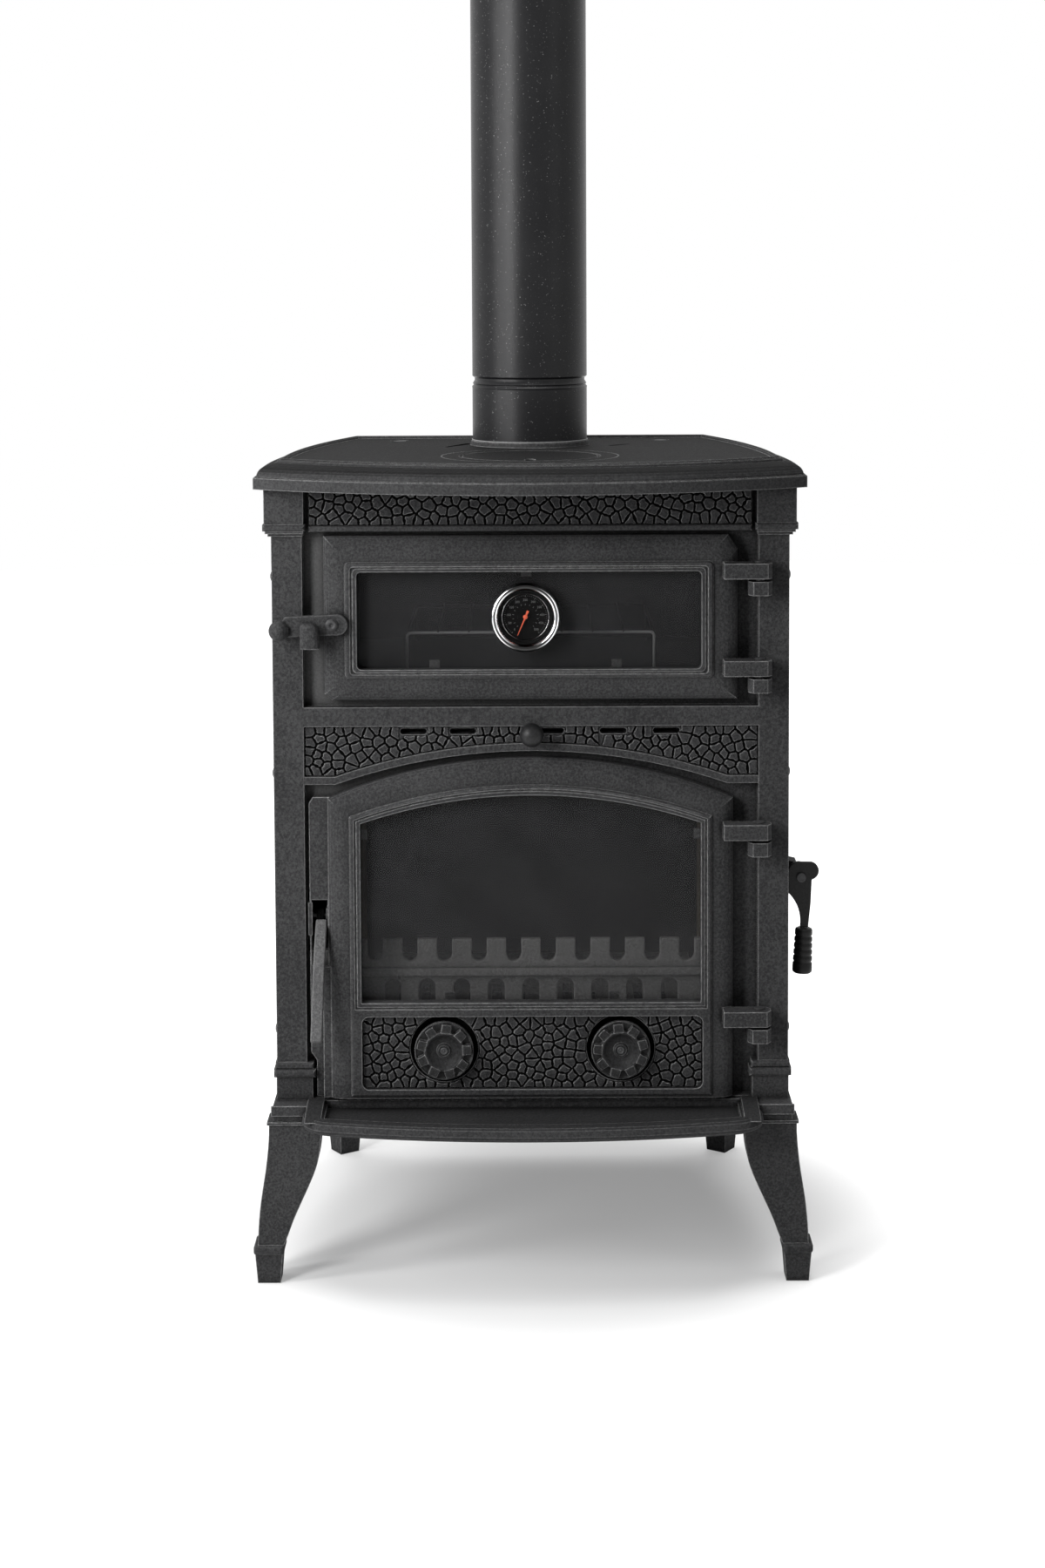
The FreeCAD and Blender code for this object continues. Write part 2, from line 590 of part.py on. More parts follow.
def oven_door():
    """Rolled-edge door around the oven window."""
    shift = WINDOW_SHIFT
    rim = front_shape(oven_door_section(0), DOOR_FACE + ROLL_TALL, DOOR_BACK)
    plate = join([rim, rolled_edge(oven_door_section)])
    bead = block(-177.0 + shift, 177.0 + shift, DOOR_FACE - BEAD, DOOR_FACE + 1, 594.0, 705.5)
    bead = round_corners(bead, 4.0)
    bead = bead.makeFillet(2.0, edges_on_face_plane(bead, DOOR_FACE - BEAD, lambda edge: True))
    groove = block(-172.0 + shift, 172.0 + shift, DOOR_FACE - BEAD - 1, DOOR_FACE - 1.6, 597.5, 701.5)
    groove = round_corners(groove, 3.5)
    inner_bead = block(-169.8 + shift, 169.8 + shift, DOOR_FACE - BEAD + 0.5, DOOR_FACE, 599.0, 700.0)
    inner_bead = round_corners(inner_bead, 5.0)
    body = join([plate, bead.cut(groove), inner_bead])
    sight = block(-OVEN_GLASS_HALF + shift, OVEN_GLASS_HALF + shift, DOOR_FACE - 10, 20,
                  OVEN_GLASS_LOW, OVEN_GLASS_HIGH)
    sight = round_corners(sight, 4.8)
    rebate = block(-172.5 + shift, 172.5 + shift, GLASS_FRONT, 20, 596.0, 703.0)
    boss = tube_y(LATCH_X, LATCH_Z, 8.5, DOOR_FACE - 2.9, DOOR_FACE + ROLL_TALL)
    straps = [hinge_strap(low, OVEN_DOOR_HALF) for low in OVEN_STRAPS]
    body = join([body.cut(sight).cut(rebate), boss] + straps)
    return body.cut(tube_y(LATCH_X, LATCH_Z, LATCH_SCREW_R, DOOR_FACE - 5, DOOR_BACK - 3))


def oven_glass():
    """Pane behind the oven door, bored for the thermometer stem."""
    shift = WINDOW_SHIFT
    pane = block(-172.0 + shift, 172.0 + shift, GLASS_FRONT, GLASS_FRONT + GLASS_THICK, 596.5, 702.5)
    return pane.cut(tube_y(THERMO_X, THERMO_Z, THERMO_STEM_R + 0.3, 0, 20))


def clips(places):
    """Spring clips with their screws: (x, z) on the rebate's edge, turn in degrees."""
    back = GLASS_FRONT + GLASS_THICK
    shapes = []
    for x, z, turn in places:
        foot = block(x - 5, x + 5, back, back + 1.5, z - 13.0, z - 0.2)
        riser = block(x - 5, x + 5, back, DOOR_BACK + 1.5, z - 1.7, z - 0.2)
        tail = block(x - 5, x + 5, DOOR_BACK, DOOR_BACK + 1.5, z - 1.7, z + 8.0)
        head = tube_y(x, z + 4.2, 2.8, DOOR_BACK + 1.5, DOOR_BACK + 2.6)
        clip = join([foot, riser, tail, head])
        clip.rotate(FreeCAD.Vector(x, 0, z), BACKWARDS, turn)
        shapes.append(clip)
    return Part.makeCompound(shapes)


def seal(points_out, points_in):
    """Flat ring of woven rope between a door and the frame."""
    outer = front_shape(points_out, DOOR_BACK, SEAL_BACK)
    inner = front_shape(points_in, DOOR_BACK - 1, SEAL_BACK + 1)
    return outer.cut(inner)


def rectangle(half, low, high):
    """Outline of a rectangle about the middle."""
    return [(-half, low), (-half, high), (half, high), (half, low)]


def fire_door():
    """Arched door: window above, air panel below, catch flange on the left."""
    shift = WINDOW_SHIFT + 0.5
    rim = front_shape(fire_door_section(0), DOOR_FACE + ROLL_TALL, DOOR_BACK)
    plate = join([rim, rolled_edge(fire_door_section)])
    flange = front_shape([(-210.5, FIRE_DOOR_LOW), (-210.5, 216.0), (-216.0, 224.0),
                          (-216.0, 470.0), (-212.0, 476.0), (-196.0, 476.0),
                          (-196.0, FIRE_DOOR_LOW)], 2.0, DOOR_BACK)
    step = block(-203.5, -190.0, -2.0, DOOR_BACK, FIRE_DOOR_LOW, 309.7)

    def window(grow, d0, d1):
        half = FIRE_GLASS_HALF + grow
        return front_shape(arched(-half + shift, half + shift, FIRE_GLASS_LOW - grow,
                                  FIRE_GLASS_SPRING + grow * 0.6, FIRE_GLASS_CROWN + grow), d0, d1)

    bead = front_shape(arched(-175.0 + shift, 175.0 + shift, 183.5, 458.5, 489.0),
                       DOOR_FACE - BEAD, DOOR_FACE + 1)
    bead = bead.makeFillet(2.0, edges_on_face_plane(bead, DOOR_FACE - BEAD, lambda edge: True))
    groove = window(6.0, DOOR_FACE - BEAD - 1, DOOR_FACE - 1.6)
    inner_bead = window(4.0, DOOR_FACE - BEAD + 0.5, DOOR_FACE)
    body = join([plate, flange, step, bead.cut(groove), inner_bead])
    body = body.cut(window(0, DOOR_FACE - 10, 20)).cut(window(7.0, GLASS_FRONT, 20))
    panel = block(-165.5, 165.5, DOOR_FACE - 5, DOOR_FACE + 3, 190.0, 262.0)
    panel = panel.makeFillet(7.0, [edge for edge in panel.Edges
                                   if edge.BoundBox.YLength > 7 and edge.BoundBox.XLength < 1])
    body = body.cut(panel)
    for sign in (-1, 1):
        x = sign * AIR_X
        body = body.cut(tube_y(x, AIR_Z, AIR_SEAT_R, DOOR_FACE - 5, DOOR_FACE + 5))
        body = body.cut(tube_y(x, AIR_Z, AIR_STUD_R + RUN_GAP, DOOR_FACE - 5, 20))
        for turn in range(6):
            angle = math.radians(60 * turn + 30)
            hole_x = x + 15.5 * math.cos(angle)
            hole_z = AIR_Z + 15.5 * math.sin(angle)
            body = body.cut(tube_y(hole_x, hole_z, 5.5, DOOR_FACE - 5, 20))
    body = body.cut(block(CATCH_LEFT, CATCH_RIGHT, -1, 20, CATCH_LOW, CATCH_HIGH))
    lugs = [block(x, x + 3.4, 6.0, 20.0, CATCH_PIN_Z - 8, CATCH_PIN_Z + 8)
            for x in (CATCH_LEFT - 3.2, CATCH_RIGHT - 2.0)]
    bridge = block(CATCH_LEFT - 3.2, CATCH_LEFT + 0.8, 2.0, DOOR_BACK, 340.0, 372.0)
    straps = [hinge_strap(low, FIRE_DOOR_RIGHT) for low in FIRE_STRAPS]
    body = join([body, bridge] + lugs + straps)
    return body.cut(tube_x(CATCH_PIN_DEPTH, CATCH_PIN_Z, CATCH_PIN_R, -218.0, -196.0))


def fire_glass():
    """Arched pane of the fire door."""
    shift = WINDOW_SHIFT + 0.5
    half = FIRE_GLASS_HALF + 6.5
    return front_shape(arched(-half + shift, half + shift, FIRE_GLASS_LOW - 6.5,
                              FIRE_GLASS_SPRING + 3.7, FIRE_GLASS_CROWN + 6.3),
                       GLASS_FRONT, GLASS_FRONT + GLASS_THICK)


def fire_lever():
    """Curved handle of the fire door, pivoted in the catch slot."""
    back = [(17.5, 362.0), (17.5, 352.0), (10.0, 344.0), (-8.0, 322.0, "arc"), (-19.0, 290.0),
            (-27.0, 262.0, "arc"), (-33.0, 247.0)]
    front = [(-37.5, 245.0, "arc"), (-40.5, 249.0), (-34.0, 270.0, "arc"), (-28.0, 292.0),
             (-17.0, 326.0, "arc"), (2.0, 352.0), (8.0, 360.0), (13.0, 364.0, "arc")]
    bar = side_shape(back + front, -211.6, -201.6)
    return bar.cut(tube_x(CATCH_PIN_DEPTH, CATCH_PIN_Z, CATCH_PIN_R + RUN_GAP, -215.0, -195.0))


def air_knob(x):
    """Spinning air valve: nine lugs around a dished hub, on a thin raised ring."""
    back = DOOR_FACE - 1.5
    front = -17.5
    hub = tube_y(x, AIR_Z, AIR_RIM_R, front, back)
    skirt = tube_y(x, AIR_Z, AIR_KNOB_R, -12.5, back)
    hoop = tube_y(x, AIR_Z, AIR_KNOB_R, -14.0, back).cut(tube_y(x, AIR_Z, 27.0, -15.0, back))
    disc = tube_y(x, AIR_Z, AIR_LUG_R, front - 1, back)
    lugs = []
    for turn in range(9):
        lug = block(x + 14.0, x + AIR_KNOB_R, front, back, AIR_Z - 5.0, AIR_Z + 5.0)
        lug.rotate(FreeCAD.Vector(x, 0, AIR_Z), BACKWARDS, 40.0 * turn)
        lugs.append(lug.common(disc))
    body = join([hub, skirt, hoop] + lugs)
    dish = Part.makeCone(16.5, 9.0, 5.5, FreeCAD.Vector(x, depth(front - 0.1), AIR_Z), BACKWARDS)
    nipple = tube_y(x, AIR_Z, 6.4, -14.6, -10.0)
    body = join([body.cut(dish), nipple])
    return body.cut(tube_y(x, AIR_Z, AIR_STUD_R + RUN_GAP, -19, -5))


def air_stud(x):
    """Screwed stud of one air valve."""
    return tube_y(x, AIR_Z, AIR_STUD_R, -15.0, 18.0)


# ---------------------------------------------------------------- oven door fittings
def oven_latch():
    """Latch bar with a ball at its end, turning on the oven door."""
    ball_z = 641.5
    outline = [(-185.4, LATCH_Z + 10.2), (-175.2, LATCH_Z, "arc"), (-185.4, LATCH_Z - 10.2),
               (-203.0, LATCH_Z - 10.4), (-234.0, LATCH_Z - 11.9), (-239.0, ball_z, "arc"),
               (-235.0, LATCH_Z + 7.9)]
    bar = front_shape(outline, -17.0, -11.3)
    neck = tube_x(-14.5, ball_z, 4.0, -243.0, -237.0)
    ball = Part.makeSphere(9.6, FreeCAD.Vector(-240.5, depth(-17.0), ball_z))
    return join([bar, neck, ball]).cut(tube_y(LATCH_X, LATCH_Z, LATCH_SCREW_R + RUN_GAP, -30, 0))


def latch_screw():
    """Shoulder screw that the latch turns on."""
    head = tube_y(LATCH_X, LATCH_Z, 6.0, -20.0, -17.3)
    head = head.cut(tube_y(LATCH_X, LATCH_Z, 2.0, -21, -18.8))
    return join([head, tube_y(LATCH_X, LATCH_Z, LATCH_SCREW_R, -17.4, DOOR_BACK - 3)])


def thermometer(part):
    """The four parts of the dial thermometer on the oven window."""
    x, z = THERMO_X, THERMO_Z
    if part == "case":
        cup = tube_y(x, z, 31.0, -9.0, GLASS_FRONT)
        cup = cup.cut(tube_y(x, z, 28.5, -10.0, -4.0))
        return join([cup, tube_y(x, z, THERMO_STEM_R, 0.0, 75.0)])
    if part == "bezel":
        ring = tube_y(x, z, 33.0, -15.0, -9.0).cut(tube_y(x, z, 27.2, -16.0, -8.0))
        round_edges = [edge for edge in ring.Edges
                       if abs(edge.BoundBox.YMax - depth(-15.0)) < 0.01
                       and edge.BoundBox.YLength < 0.01 and edge.BoundBox.XLength > 60]
        return ring.makeFillet(4.0, round_edges)
    if part == "dial":
        return tube_y(x, z, 28.4, -5.5, -4.0).cut(tube_y(x, z, 1.0 + RUN_GAP, -6, -3))
    if part == "lens":
        return tube_y(x, z, 27.1, -12.5, -11.0)
    hub = tube_y(x, z, 3.2, -8.6, -7.2)
    spindle = tube_y(x, z, 1.0, -8.6, -4.0)
    blade = front_shape([(x - 1.3, z), (x - 0.4, z - 24.0), (x + 0.4, z - 24.0), (x + 1.3, z),
                         (x + 1.0, z + 7.0), (x - 1.0, z + 7.0)], -8.2, -7.5)
    blade.rotate(FreeCAD.Vector(x, 0, z), BACKWARDS, 23.0)
    return join([hub, spindle, blade])


# ---------------------------------------------------------------- airwash
def airwash_slider():
    """Slotted strip behind the spandrel that opens or shuts the air slots."""
    low, high = SLOT_LOW - 7.5, SLOT_HIGH + 7.5
    strip = block(-158.0, 172.0, FRAME_BACK + 0.3, FRAME_BACK + 3.3, low, high)
    for x0, x1 in SLOTS:
        strip = strip.cut(front_shape(stadium(x0 + 1, x1 - 1, SLOT_LOW, SLOT_HIGH), 0, 60))
    return strip.cut(tube_y(BALL_X, STEM_Z, STEM_R, 0, 60))


def airwash_guides():
    """Two keepers that the slider runs in."""
    back = FRAME_BACK + 3.6
    guides = []
    for x in (-145.0, 110.0):
        top = block(x, x + 14, FRAME_BACK, back + 2, 550.6, 558.0)
        hook = block(x, x + 14, back, back + 2, 524.0, 558.0)
        low = block(x, x + 14, FRAME_BACK, back + 2, 521.5, 528.8)
        guides.append(join([top, hook, low]))
    return Part.makeCompound(guides)


def airwash_knob():
    """Ball on a stem that pushes the slider."""
    ball = Part.makeSphere(11.6, FreeCAD.Vector(BALL_X, depth(-15.5), STEM_Z - 1.1))
    stem = tube_y(BALL_X, STEM_Z, STEM_R, -10.0, FRAME_BACK + 3.3)
    return join([ball, stem])


# ---------------------------------------------------------------- flue
def flue_collar():
    """Low flared ring around the flue hole, with a spigot for the pipe."""
    foot = FreeCAD.Vector(0, depth(FLUE_DEPTH), PLATE_TOP)
    flange = Part.makeCone(FLUE_FOOT_R, FLUE_R + 1.2, FLUE_FLANGE, foot, UP)
    spigot = tube_z(0, FLUE_DEPTH, FLUE_SPIGOT_R, PLATE_TOP, SWAGE_LOW - 4)
    body = join([flange, spigot])
    return body.cut(tube_z(0, FLUE_DEPTH, FLUE_R - 5.5, PLATE_TOP - 1, SWAGE_LOW + 1))


def flue_pipe():
    """Plain 120 mm pipe with a swaged groove, and a thin bead under the groove."""
    low = PLATE_TOP + FLUE_FLANGE
    high = low + FLUE_LENGTH
    inner = FLUE_R - FLUE_WALL
    profile = [(inner, low), (FLUE_R, low), (FLUE_R, SWAGE_LOW - 3.0),
               (FLUE_R + 0.3, SWAGE_LOW - 1.2), (FLUE_R - 1.2, SWAGE_LOW + 0.6),
               (FLUE_R - 1.2, SWAGE_LOW + 1.2), (FLUE_R - 0.4, SWAGE_LOW + 2.2),
               (FLUE_R - 2.4, SWAGE_LOW + 5.5), (FLUE_R - 2.4, SWAGE_HIGH - 2),
               (FLUE_R, SWAGE_HIGH), (FLUE_R, high), (inner, high),
               (inner, SWAGE_HIGH), (inner - 2.5, SWAGE_HIGH - 2), (inner - 2.5, SWAGE_LOW + 2),
               (inner, SWAGE_LOW)]
    centre = FreeCAD.Vector(0, depth(FLUE_DEPTH), 0)
    corners = [FreeCAD.Vector(r, depth(FLUE_DEPTH), z) for r, z in profile]
    face = Part.Face(Part.makePolygon(corners + corners[:1]))
    return face.revolve(centre, UP, 360)


# ---------------------------------------------------------------- inside
def oven_box():
    """Oven liner: a sheet box open at the front."""
    low = OVEN_HOLE_LOW - 3.0
    outside = block(-186.0, 186.0, FRAME_BACK, 285.0, low, 727.0)
    inside = block(-183.0, 183.0, FRAME_BACK - 1, 282.0, OVEN_HOLE_LOW, 724.0)
    return outside.cut(inside)


def oven_rack():
    """Wire stand on the oven floor."""
    wire = 2.5
    front, back = 60.0, 260.0
    top = 628.0
    floor = OVEN_HOLE_LOW + 0.2
    shapes = []
    for x in (-122.0, 122.0):
        shapes.append(tube_y(x, top, wire, front, back))
        for behind in (front, back):
            shapes.append(tube_z(x, behind, wire, floor, top))
            shapes.append(Part.makeSphere(wire, FreeCAD.Vector(x, depth(behind), top)))
    for behind in (front, back):
        shapes.append(tube_x(behind, top, wire, -122.0, 122.0))
    for index in range(1, 8):
        x = -122.0 + index * 30.5
        shapes.append(tube_y(x, top, 1.6, front, back))
    return join(shapes)


def liner(x0, x1, d0, d1, window):
    """One firebrick."""
    brick = block(x0, x1, d0, d1, 240.0, 545.0)
    if window:
        brick = brick.cut(block(x0 - 1, x1 + 1, 95.0, 235.0, 275.0, 465.0))
    return brick


def grate_frame():
    """Ledge plate that carries the grate and the bricks over the ash pit."""
    back = 298.0
    half_front = side_x(FRAME_BACK) - PANEL - 3.0
    half_back = side_x(back) - PANEL - 3.0
    outline = [(-half_front, FRAME_BACK), (-half_back, back), (half_back, back),
               (half_front, FRAME_BACK)]
    plate = plan_shape(outline, 230.0, 240.0)
    plate = plate.cut(block(-160.0, 160.0, 62.0, 262.0, 229.0, 241.0))
    walls = [block(x - 4, x + 4, 30, back, FIRE_HOLE_LOW, 230.0) for x in (-164.0, 164.0)]
    feet = [block(x - 10, x + 10, 30, back, BASE_TOP, FIRE_HOLE_LOW) for x in (-164.0, 164.0)]
    return join([plate] + walls + feet)


def fire_grate():
    """Slotted cast grate."""
    plate = block(-168.0, 168.0, 54.0, 270.0, 240.0, 250.0)
    for column in range(14):
        x = -156.0 + 24.0 * column
        for d0, d1 in ((68.0, 152.0), (172.0, 256.0)):
            plate = plate.cut(block(x - 5, x + 5, d0, d1, 239.0, 251.0))
    return plate


def log_guard():
    """Comb-shaped front plate that keeps logs off the glass."""
    pitch = 33.2
    plate = block(-176.0, 176.0, 36.0, 44.0, 240.0, 326.5)
    ledge = block(-176.0, 176.0, 31.0, 44.0, 290.0, 298.5)
    plate = join([plate, ledge])
    for index in range(-5, 6):
        x = 1.5 + pitch * (index + 0.5)
        gap = [(x - 8.0, 330.0), (x - 8.0, 312.5), (x, 304.5, "arc"), (x + 8.0, 312.5), (x + 8.0, 330.0)]
        if abs(x) < 170.0:
            plate = plate.cut(front_shape(gap, 30.0, 50.0))
    for index in range(-4, 5):
        x = 1.5 + pitch * index
        hole = [(x - 8.5, 256.0), (x - 8.5, 270.0), (x, 278.5, "arc"), (x + 8.5, 270.0), (x + 8.5, 256.0)]
        plate = plate.cut(front_shape(hole, 30.0, 50.0))
    return plate


def ash_pan():
    """Sheet drawer for the ash, with a bail lug at its front."""
    outside = block(-148.0, 148.0, 40.0, 290.0, FIRE_HOLE_LOW + 0.2, 224.0)
    inside = block(-146.5, 146.5, 41.5, 288.5, FIRE_HOLE_LOW + 1.7, 225.0)
    lug = block(-28.0, 28.0, 30.0, 40.0, 204.0, 207.0)
    lip = block(-28.0, 28.0, 30.0, 32.0, 196.0, 207.0)
    return join([outside.cut(inside), lug, lip])


def baffle_plate():
    """Plate over the firebox that sends the smoke forward and round the oven."""
    return block(-190.0, 190.0, 90.0, 290.0, 545.0, 551.0)


def tie_rods():
    """Two long bolts that clamp the top plate to the base."""
    rods = []
    for x in (-ROD_X, ROD_X):
        rod = tube_z(x, ROD_DEPTH, ROD_R, BASE_TOP, PLATE_TOP - 2.0)
        head = tube_z(x, ROD_DEPTH, 7.5, PLATE_TOP - 4.0, PLATE_TOP - 0.5)
        rods.append(join([rod, head]))
    return Part.makeCompound(rods)


def side_bolts():
    """Bolt heads that hold the side panels to the front casting."""
    shapes = []
    start = side_x(FRAME_BACK + 3)
    for sign in (-1, 1):
        for z in BOLT_HEIGHTS:
            head = tube_x(33.0, z, 6.0, start, start + 4.5)
            shapes.append(head if sign > 0 else mirror_x(head))
    return Part.makeCompound(shapes)


# ---------------------------------------------------------------- side door
def side_door():
    """Feed door on the right-hand side, hinged along its back edge."""
    gap = 0.4
    middle = (SIDE_DOOR_FRONT + SIDE_DOOR_BACK) / 2

    def skin(behind, out):
        return (side_x(behind) + out, behind)

    inner = [skin(SIDE_DOOR_FRONT, gap), skin(middle, gap) + ("arc",), skin(SIDE_DOOR_BACK, gap)]
    outer = [skin(SIDE_DOOR_BACK, SIDE_DOOR_THICK), skin(middle, SIDE_DOOR_THICK) + ("arc",),
             skin(SIDE_DOOR_FRONT, SIDE_DOOR_THICK)]
    plate = plan_shape(inner + outer, SIDE_DOOR_LOW, SIDE_DOOR_HIGH)
    pieces = [plate]
    for z in SIDE_STRAPS:
        top = z + SIDE_STRAP_TALL
        eye = tube_z(SIDE_HINGE_X, SIDE_HINGE_DEPTH, 7.0, z, top)
        arm = block(side_x(240.0) + 2, SIDE_HINGE_X + 3, 240.0, SIDE_HINGE_DEPTH, z, top)
        bore = tube_z(SIDE_HINGE_X, SIDE_HINGE_DEPTH, SIDE_PIN_R, z - 1, top + 1)
        pieces.append(join([eye, arm]).cut(bore))
    bracket = front_shape([(250.5, 366.0), (250.5, 402.5), (262.0, 400.0), (262.0, 374.0)],
                          LEVER_DEPTH + 6.0, SIDE_DOOR_FRONT + 8)
    pivot = tube_y(LEVER_X, LEVER_Z, 7.0, LEVER_DEPTH + 6.0, LEVER_DEPTH + 12.0)
    bar = block(254.0, LEVER_X, LEVER_DEPTH + 6.0, LEVER_DEPTH + 12.0, LEVER_Z - 6, LEVER_Z + 6)
    body = join(pieces + [bracket, pivot, bar])
    return body.cut(tube_y(LEVER_X, LEVER_Z, SIDE_RIVET_R, LEVER_DEPTH, LEVER_DEPTH + 20))


def side_door_pins():
    """Pins of the side door and the rivet that its lever turns on."""
    tall = SIDE_STRAP_TALL
    shapes = [tube_z(SIDE_HINGE_X, SIDE_HINGE_DEPTH, SIDE_PIN_R, z - tall, z + tall)
              for z in SIDE_STRAPS]
    shank = tube_y(LEVER_X, LEVER_Z, SIDE_RIVET_R, LEVER_DEPTH - 1.0, LEVER_DEPTH + 12.0)
    head = tube_y(LEVER_X, LEVER_Z, 4.5, LEVER_DEPTH - 2.6, LEVER_DEPTH - 0.3)
    shapes.append(join([shank, head]))
    return Part.makeCompound(shapes)


def side_hinge_lugs():
    """Lugs bolted to the side panel that carry the side door."""
    shapes = []
    for z in SIDE_STRAPS:
        low = z - SIDE_STRAP_TALL - 0.5
        barrel = tube_z(SIDE_HINGE_X, SIDE_HINGE_DEPTH, 7.0, low, z - 0.5)
        near, far = SIDE_HINGE_DEPTH + 1, 292.0
        foot = plan_shape([(side_x(near) + 0.2, near), (side_x(far) + 0.2, far),
                           (SIDE_HINGE_X - 10, far), (SIDE_HINGE_X + 4, near + 2),
                           (SIDE_HINGE_X + 4, near)], low, z - 0.5)
        lug = join([barrel, foot])
        bore = tube_z(SIDE_HINGE_X, SIDE_HINGE_DEPTH, SIDE_PIN_R + RUN_GAP, low - 1, z + 1)
        shapes.append(lug.cut(bore))
    return Part.makeCompound(shapes)


def side_lever():
    """Flat catch lever of the side door."""
    outline = [(253.0, 393.0), (258.0, 400.0, "arc"), (266.0, 401.2), (276.0, 401.0),
               (283.3, 394.0, "arc"), (276.5, 383.5), (275.5, 360.0), (273.0, GRIP_TOP),
               (265.0, GRIP_TOP), (264.0, 352.0, "arc"), (252.6, 371.0), (251.6, 382.0, "arc")]
    plate = front_shape(outline, LEVER_DEPTH, LEVER_DEPTH + 5.0)
    return plate.cut(tube_y(LEVER_X, LEVER_Z, SIDE_RIVET_R + RUN_GAP, 30, 60))


def side_grip():
    """Round grip on the end of the lever, thicker and further in at its foot."""
    profile = ((0.0, 5.6), (0.7, 7.4), (2.6, 8.6), (GRIP_TALL - 3.0, 9.8), (GRIP_TALL - 0.8, 8.9),
               (GRIP_TALL, 7.0))
    wires = []
    for down, radius in profile:
        middle = FreeCAD.Vector(268.9 - 1.7 * down / GRIP_TALL, depth(LEVER_DEPTH + 2.5), GRIP_TOP - down)
        wires.append(Part.Wire([Part.makeCircle(radius, middle, UP)]))
    return Part.makeLoft(wires[::-1], True, True)


# ---------------------------------------------------------------- write the pieces
def build():
    fire_seal_out = arched(-190.0, 190.0, 186.0 - 4, 462.0, 501.0)
    fire_seal_in = arched(-181.0, 181.0, 186.0 - 0.5, 453.0, 492.0)
    oven_clips = [(-93.0, 596.0, 180), (83.0, 596.0, 180), (-4.0, 703.0, 0)]
    fire_clips = [(170.8, 438.0, 90), (-172.8, 438.0, -90), (-80.0, 268.5, 180), (80.0, 268.5, 180)]
    pieces = {
        "top_plate": top_plate(),
        "hob_lid": hob_lid(),
        "front_frame": front_frame(),
        "hinge_knuckles": hinge_knuckles(),
        "latch_keeper": latch_keeper(),
        "side_panel_left": side_wall(-1, False),
        "side_panel_right": side_wall(1, True),
        "back_panel": back_panel(),
        "base_plate": base_plate(),
        "hearth": hearth(),
        "leg_front_left": leg(-1, False),
        "leg_front_right": leg(1, False),
        "leg_rear_left": leg(-1, True),
        "leg_rear_right": leg(1, True),
        "flue_collar": flue_collar(),
        "flue_pipe": flue_pipe(),
        "oven_box": oven_box(),
        "oven_rack": oven_rack(),
        "baffle_plate": baffle_plate(),
        "firebrick_left": liner(-190.0, -178.0, 46.0, 290.0, False),
        "firebrick_right": liner(178.0, 190.0, 46.0, 290.0, True),
        "firebrick_back": liner(-178.0, 178.0, 278.0, 290.0, False),
        "grate_frame": grate_frame(),
        "fire_grate": fire_grate(),
        "log_guard": log_guard(),
        "ash_pan": ash_pan(),
        "tie_rods": tie_rods(),
        "side_bolts": side_bolts(),
        "airwash_slider": airwash_slider(),
        "airwash_guides": airwash_guides(),
        "airwash_knob": airwash_knob(),
        "oven_door": oven_door(),
        "oven_glass": oven_glass(),
        "oven_glass_clips": clips(oven_clips),
        "oven_door_seal": seal(rectangle(190.0, 580.0, 722.0), rectangle(183.0, 587.0, 715.0)),
        "oven_hinge_pins": hinge_pins(OVEN_STRAPS),
        "oven_latch": oven_latch(),
        "oven_latch_screw": latch_screw(),
        "thermometer_case": thermometer("case"),
        "thermometer_bezel": thermometer("bezel"),
        "thermometer_dial": thermometer("dial"),
        "thermometer_lens": thermometer("lens"),
        "thermometer_needle": thermometer("needle"),
        "fire_door": fire_door(),
        "fire_glass": fire_glass(),
        "fire_glass_clips": clips(fire_clips),
        "fire_door_seal": seal(fire_seal_out, fire_seal_in),
        "fire_hinge_pins": hinge_pins(FIRE_STRAPS),
        "fire_lever": fire_lever(),
        "fire_lever_pin": tube_x(CATCH_PIN_DEPTH, CATCH_PIN_Z, CATCH_PIN_R, -217.6, -197.2),
        "air_knob_left": air_knob(-AIR_X),
        "air_knob_right": air_knob(AIR_X),
        "air_stud_left": air_stud(-AIR_X),
        "air_stud_right": air_stud(AIR_X),
        "side_door": side_door(),
        "side_door_pins": side_door_pins(),
        "side_hinge_lugs": side_hinge_lugs(),
        "side_lever": side_lever(),
        "side_grip": side_grip(),
    }
    for name, shape in pieces.items():
        box = shape.BoundBox
        solids = len(shape.Solids)
        print(f"{name:20s} {solids} solids, valid {shape.isValid()}, "
              f"x {box.XMin:.1f} {box.XMax:.1f}  y {box.YMin:.1f} {box.YMax:.1f}  "
              f"z {box.ZMin:.1f} {box.ZMax:.1f}")
        save(shape, name)


build()
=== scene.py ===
# %% [markdown]
# A small cast iron range cooker.  The imported model holds every casting, hinge
# and pane as a solid in metres: X runs to the right, Y to the back, Z up from
# the floor.  This lesson keeps most of those solids, paints them, and makes
# again the pieces whose charm is in small shapes: the pebbled panels, the dial,
# the knobs, the levers and the rope seals.

# %% Load the solids and keep their box
import bpy
import bmesh
import json
import math
import random
from mathutils import Matrix, Vector


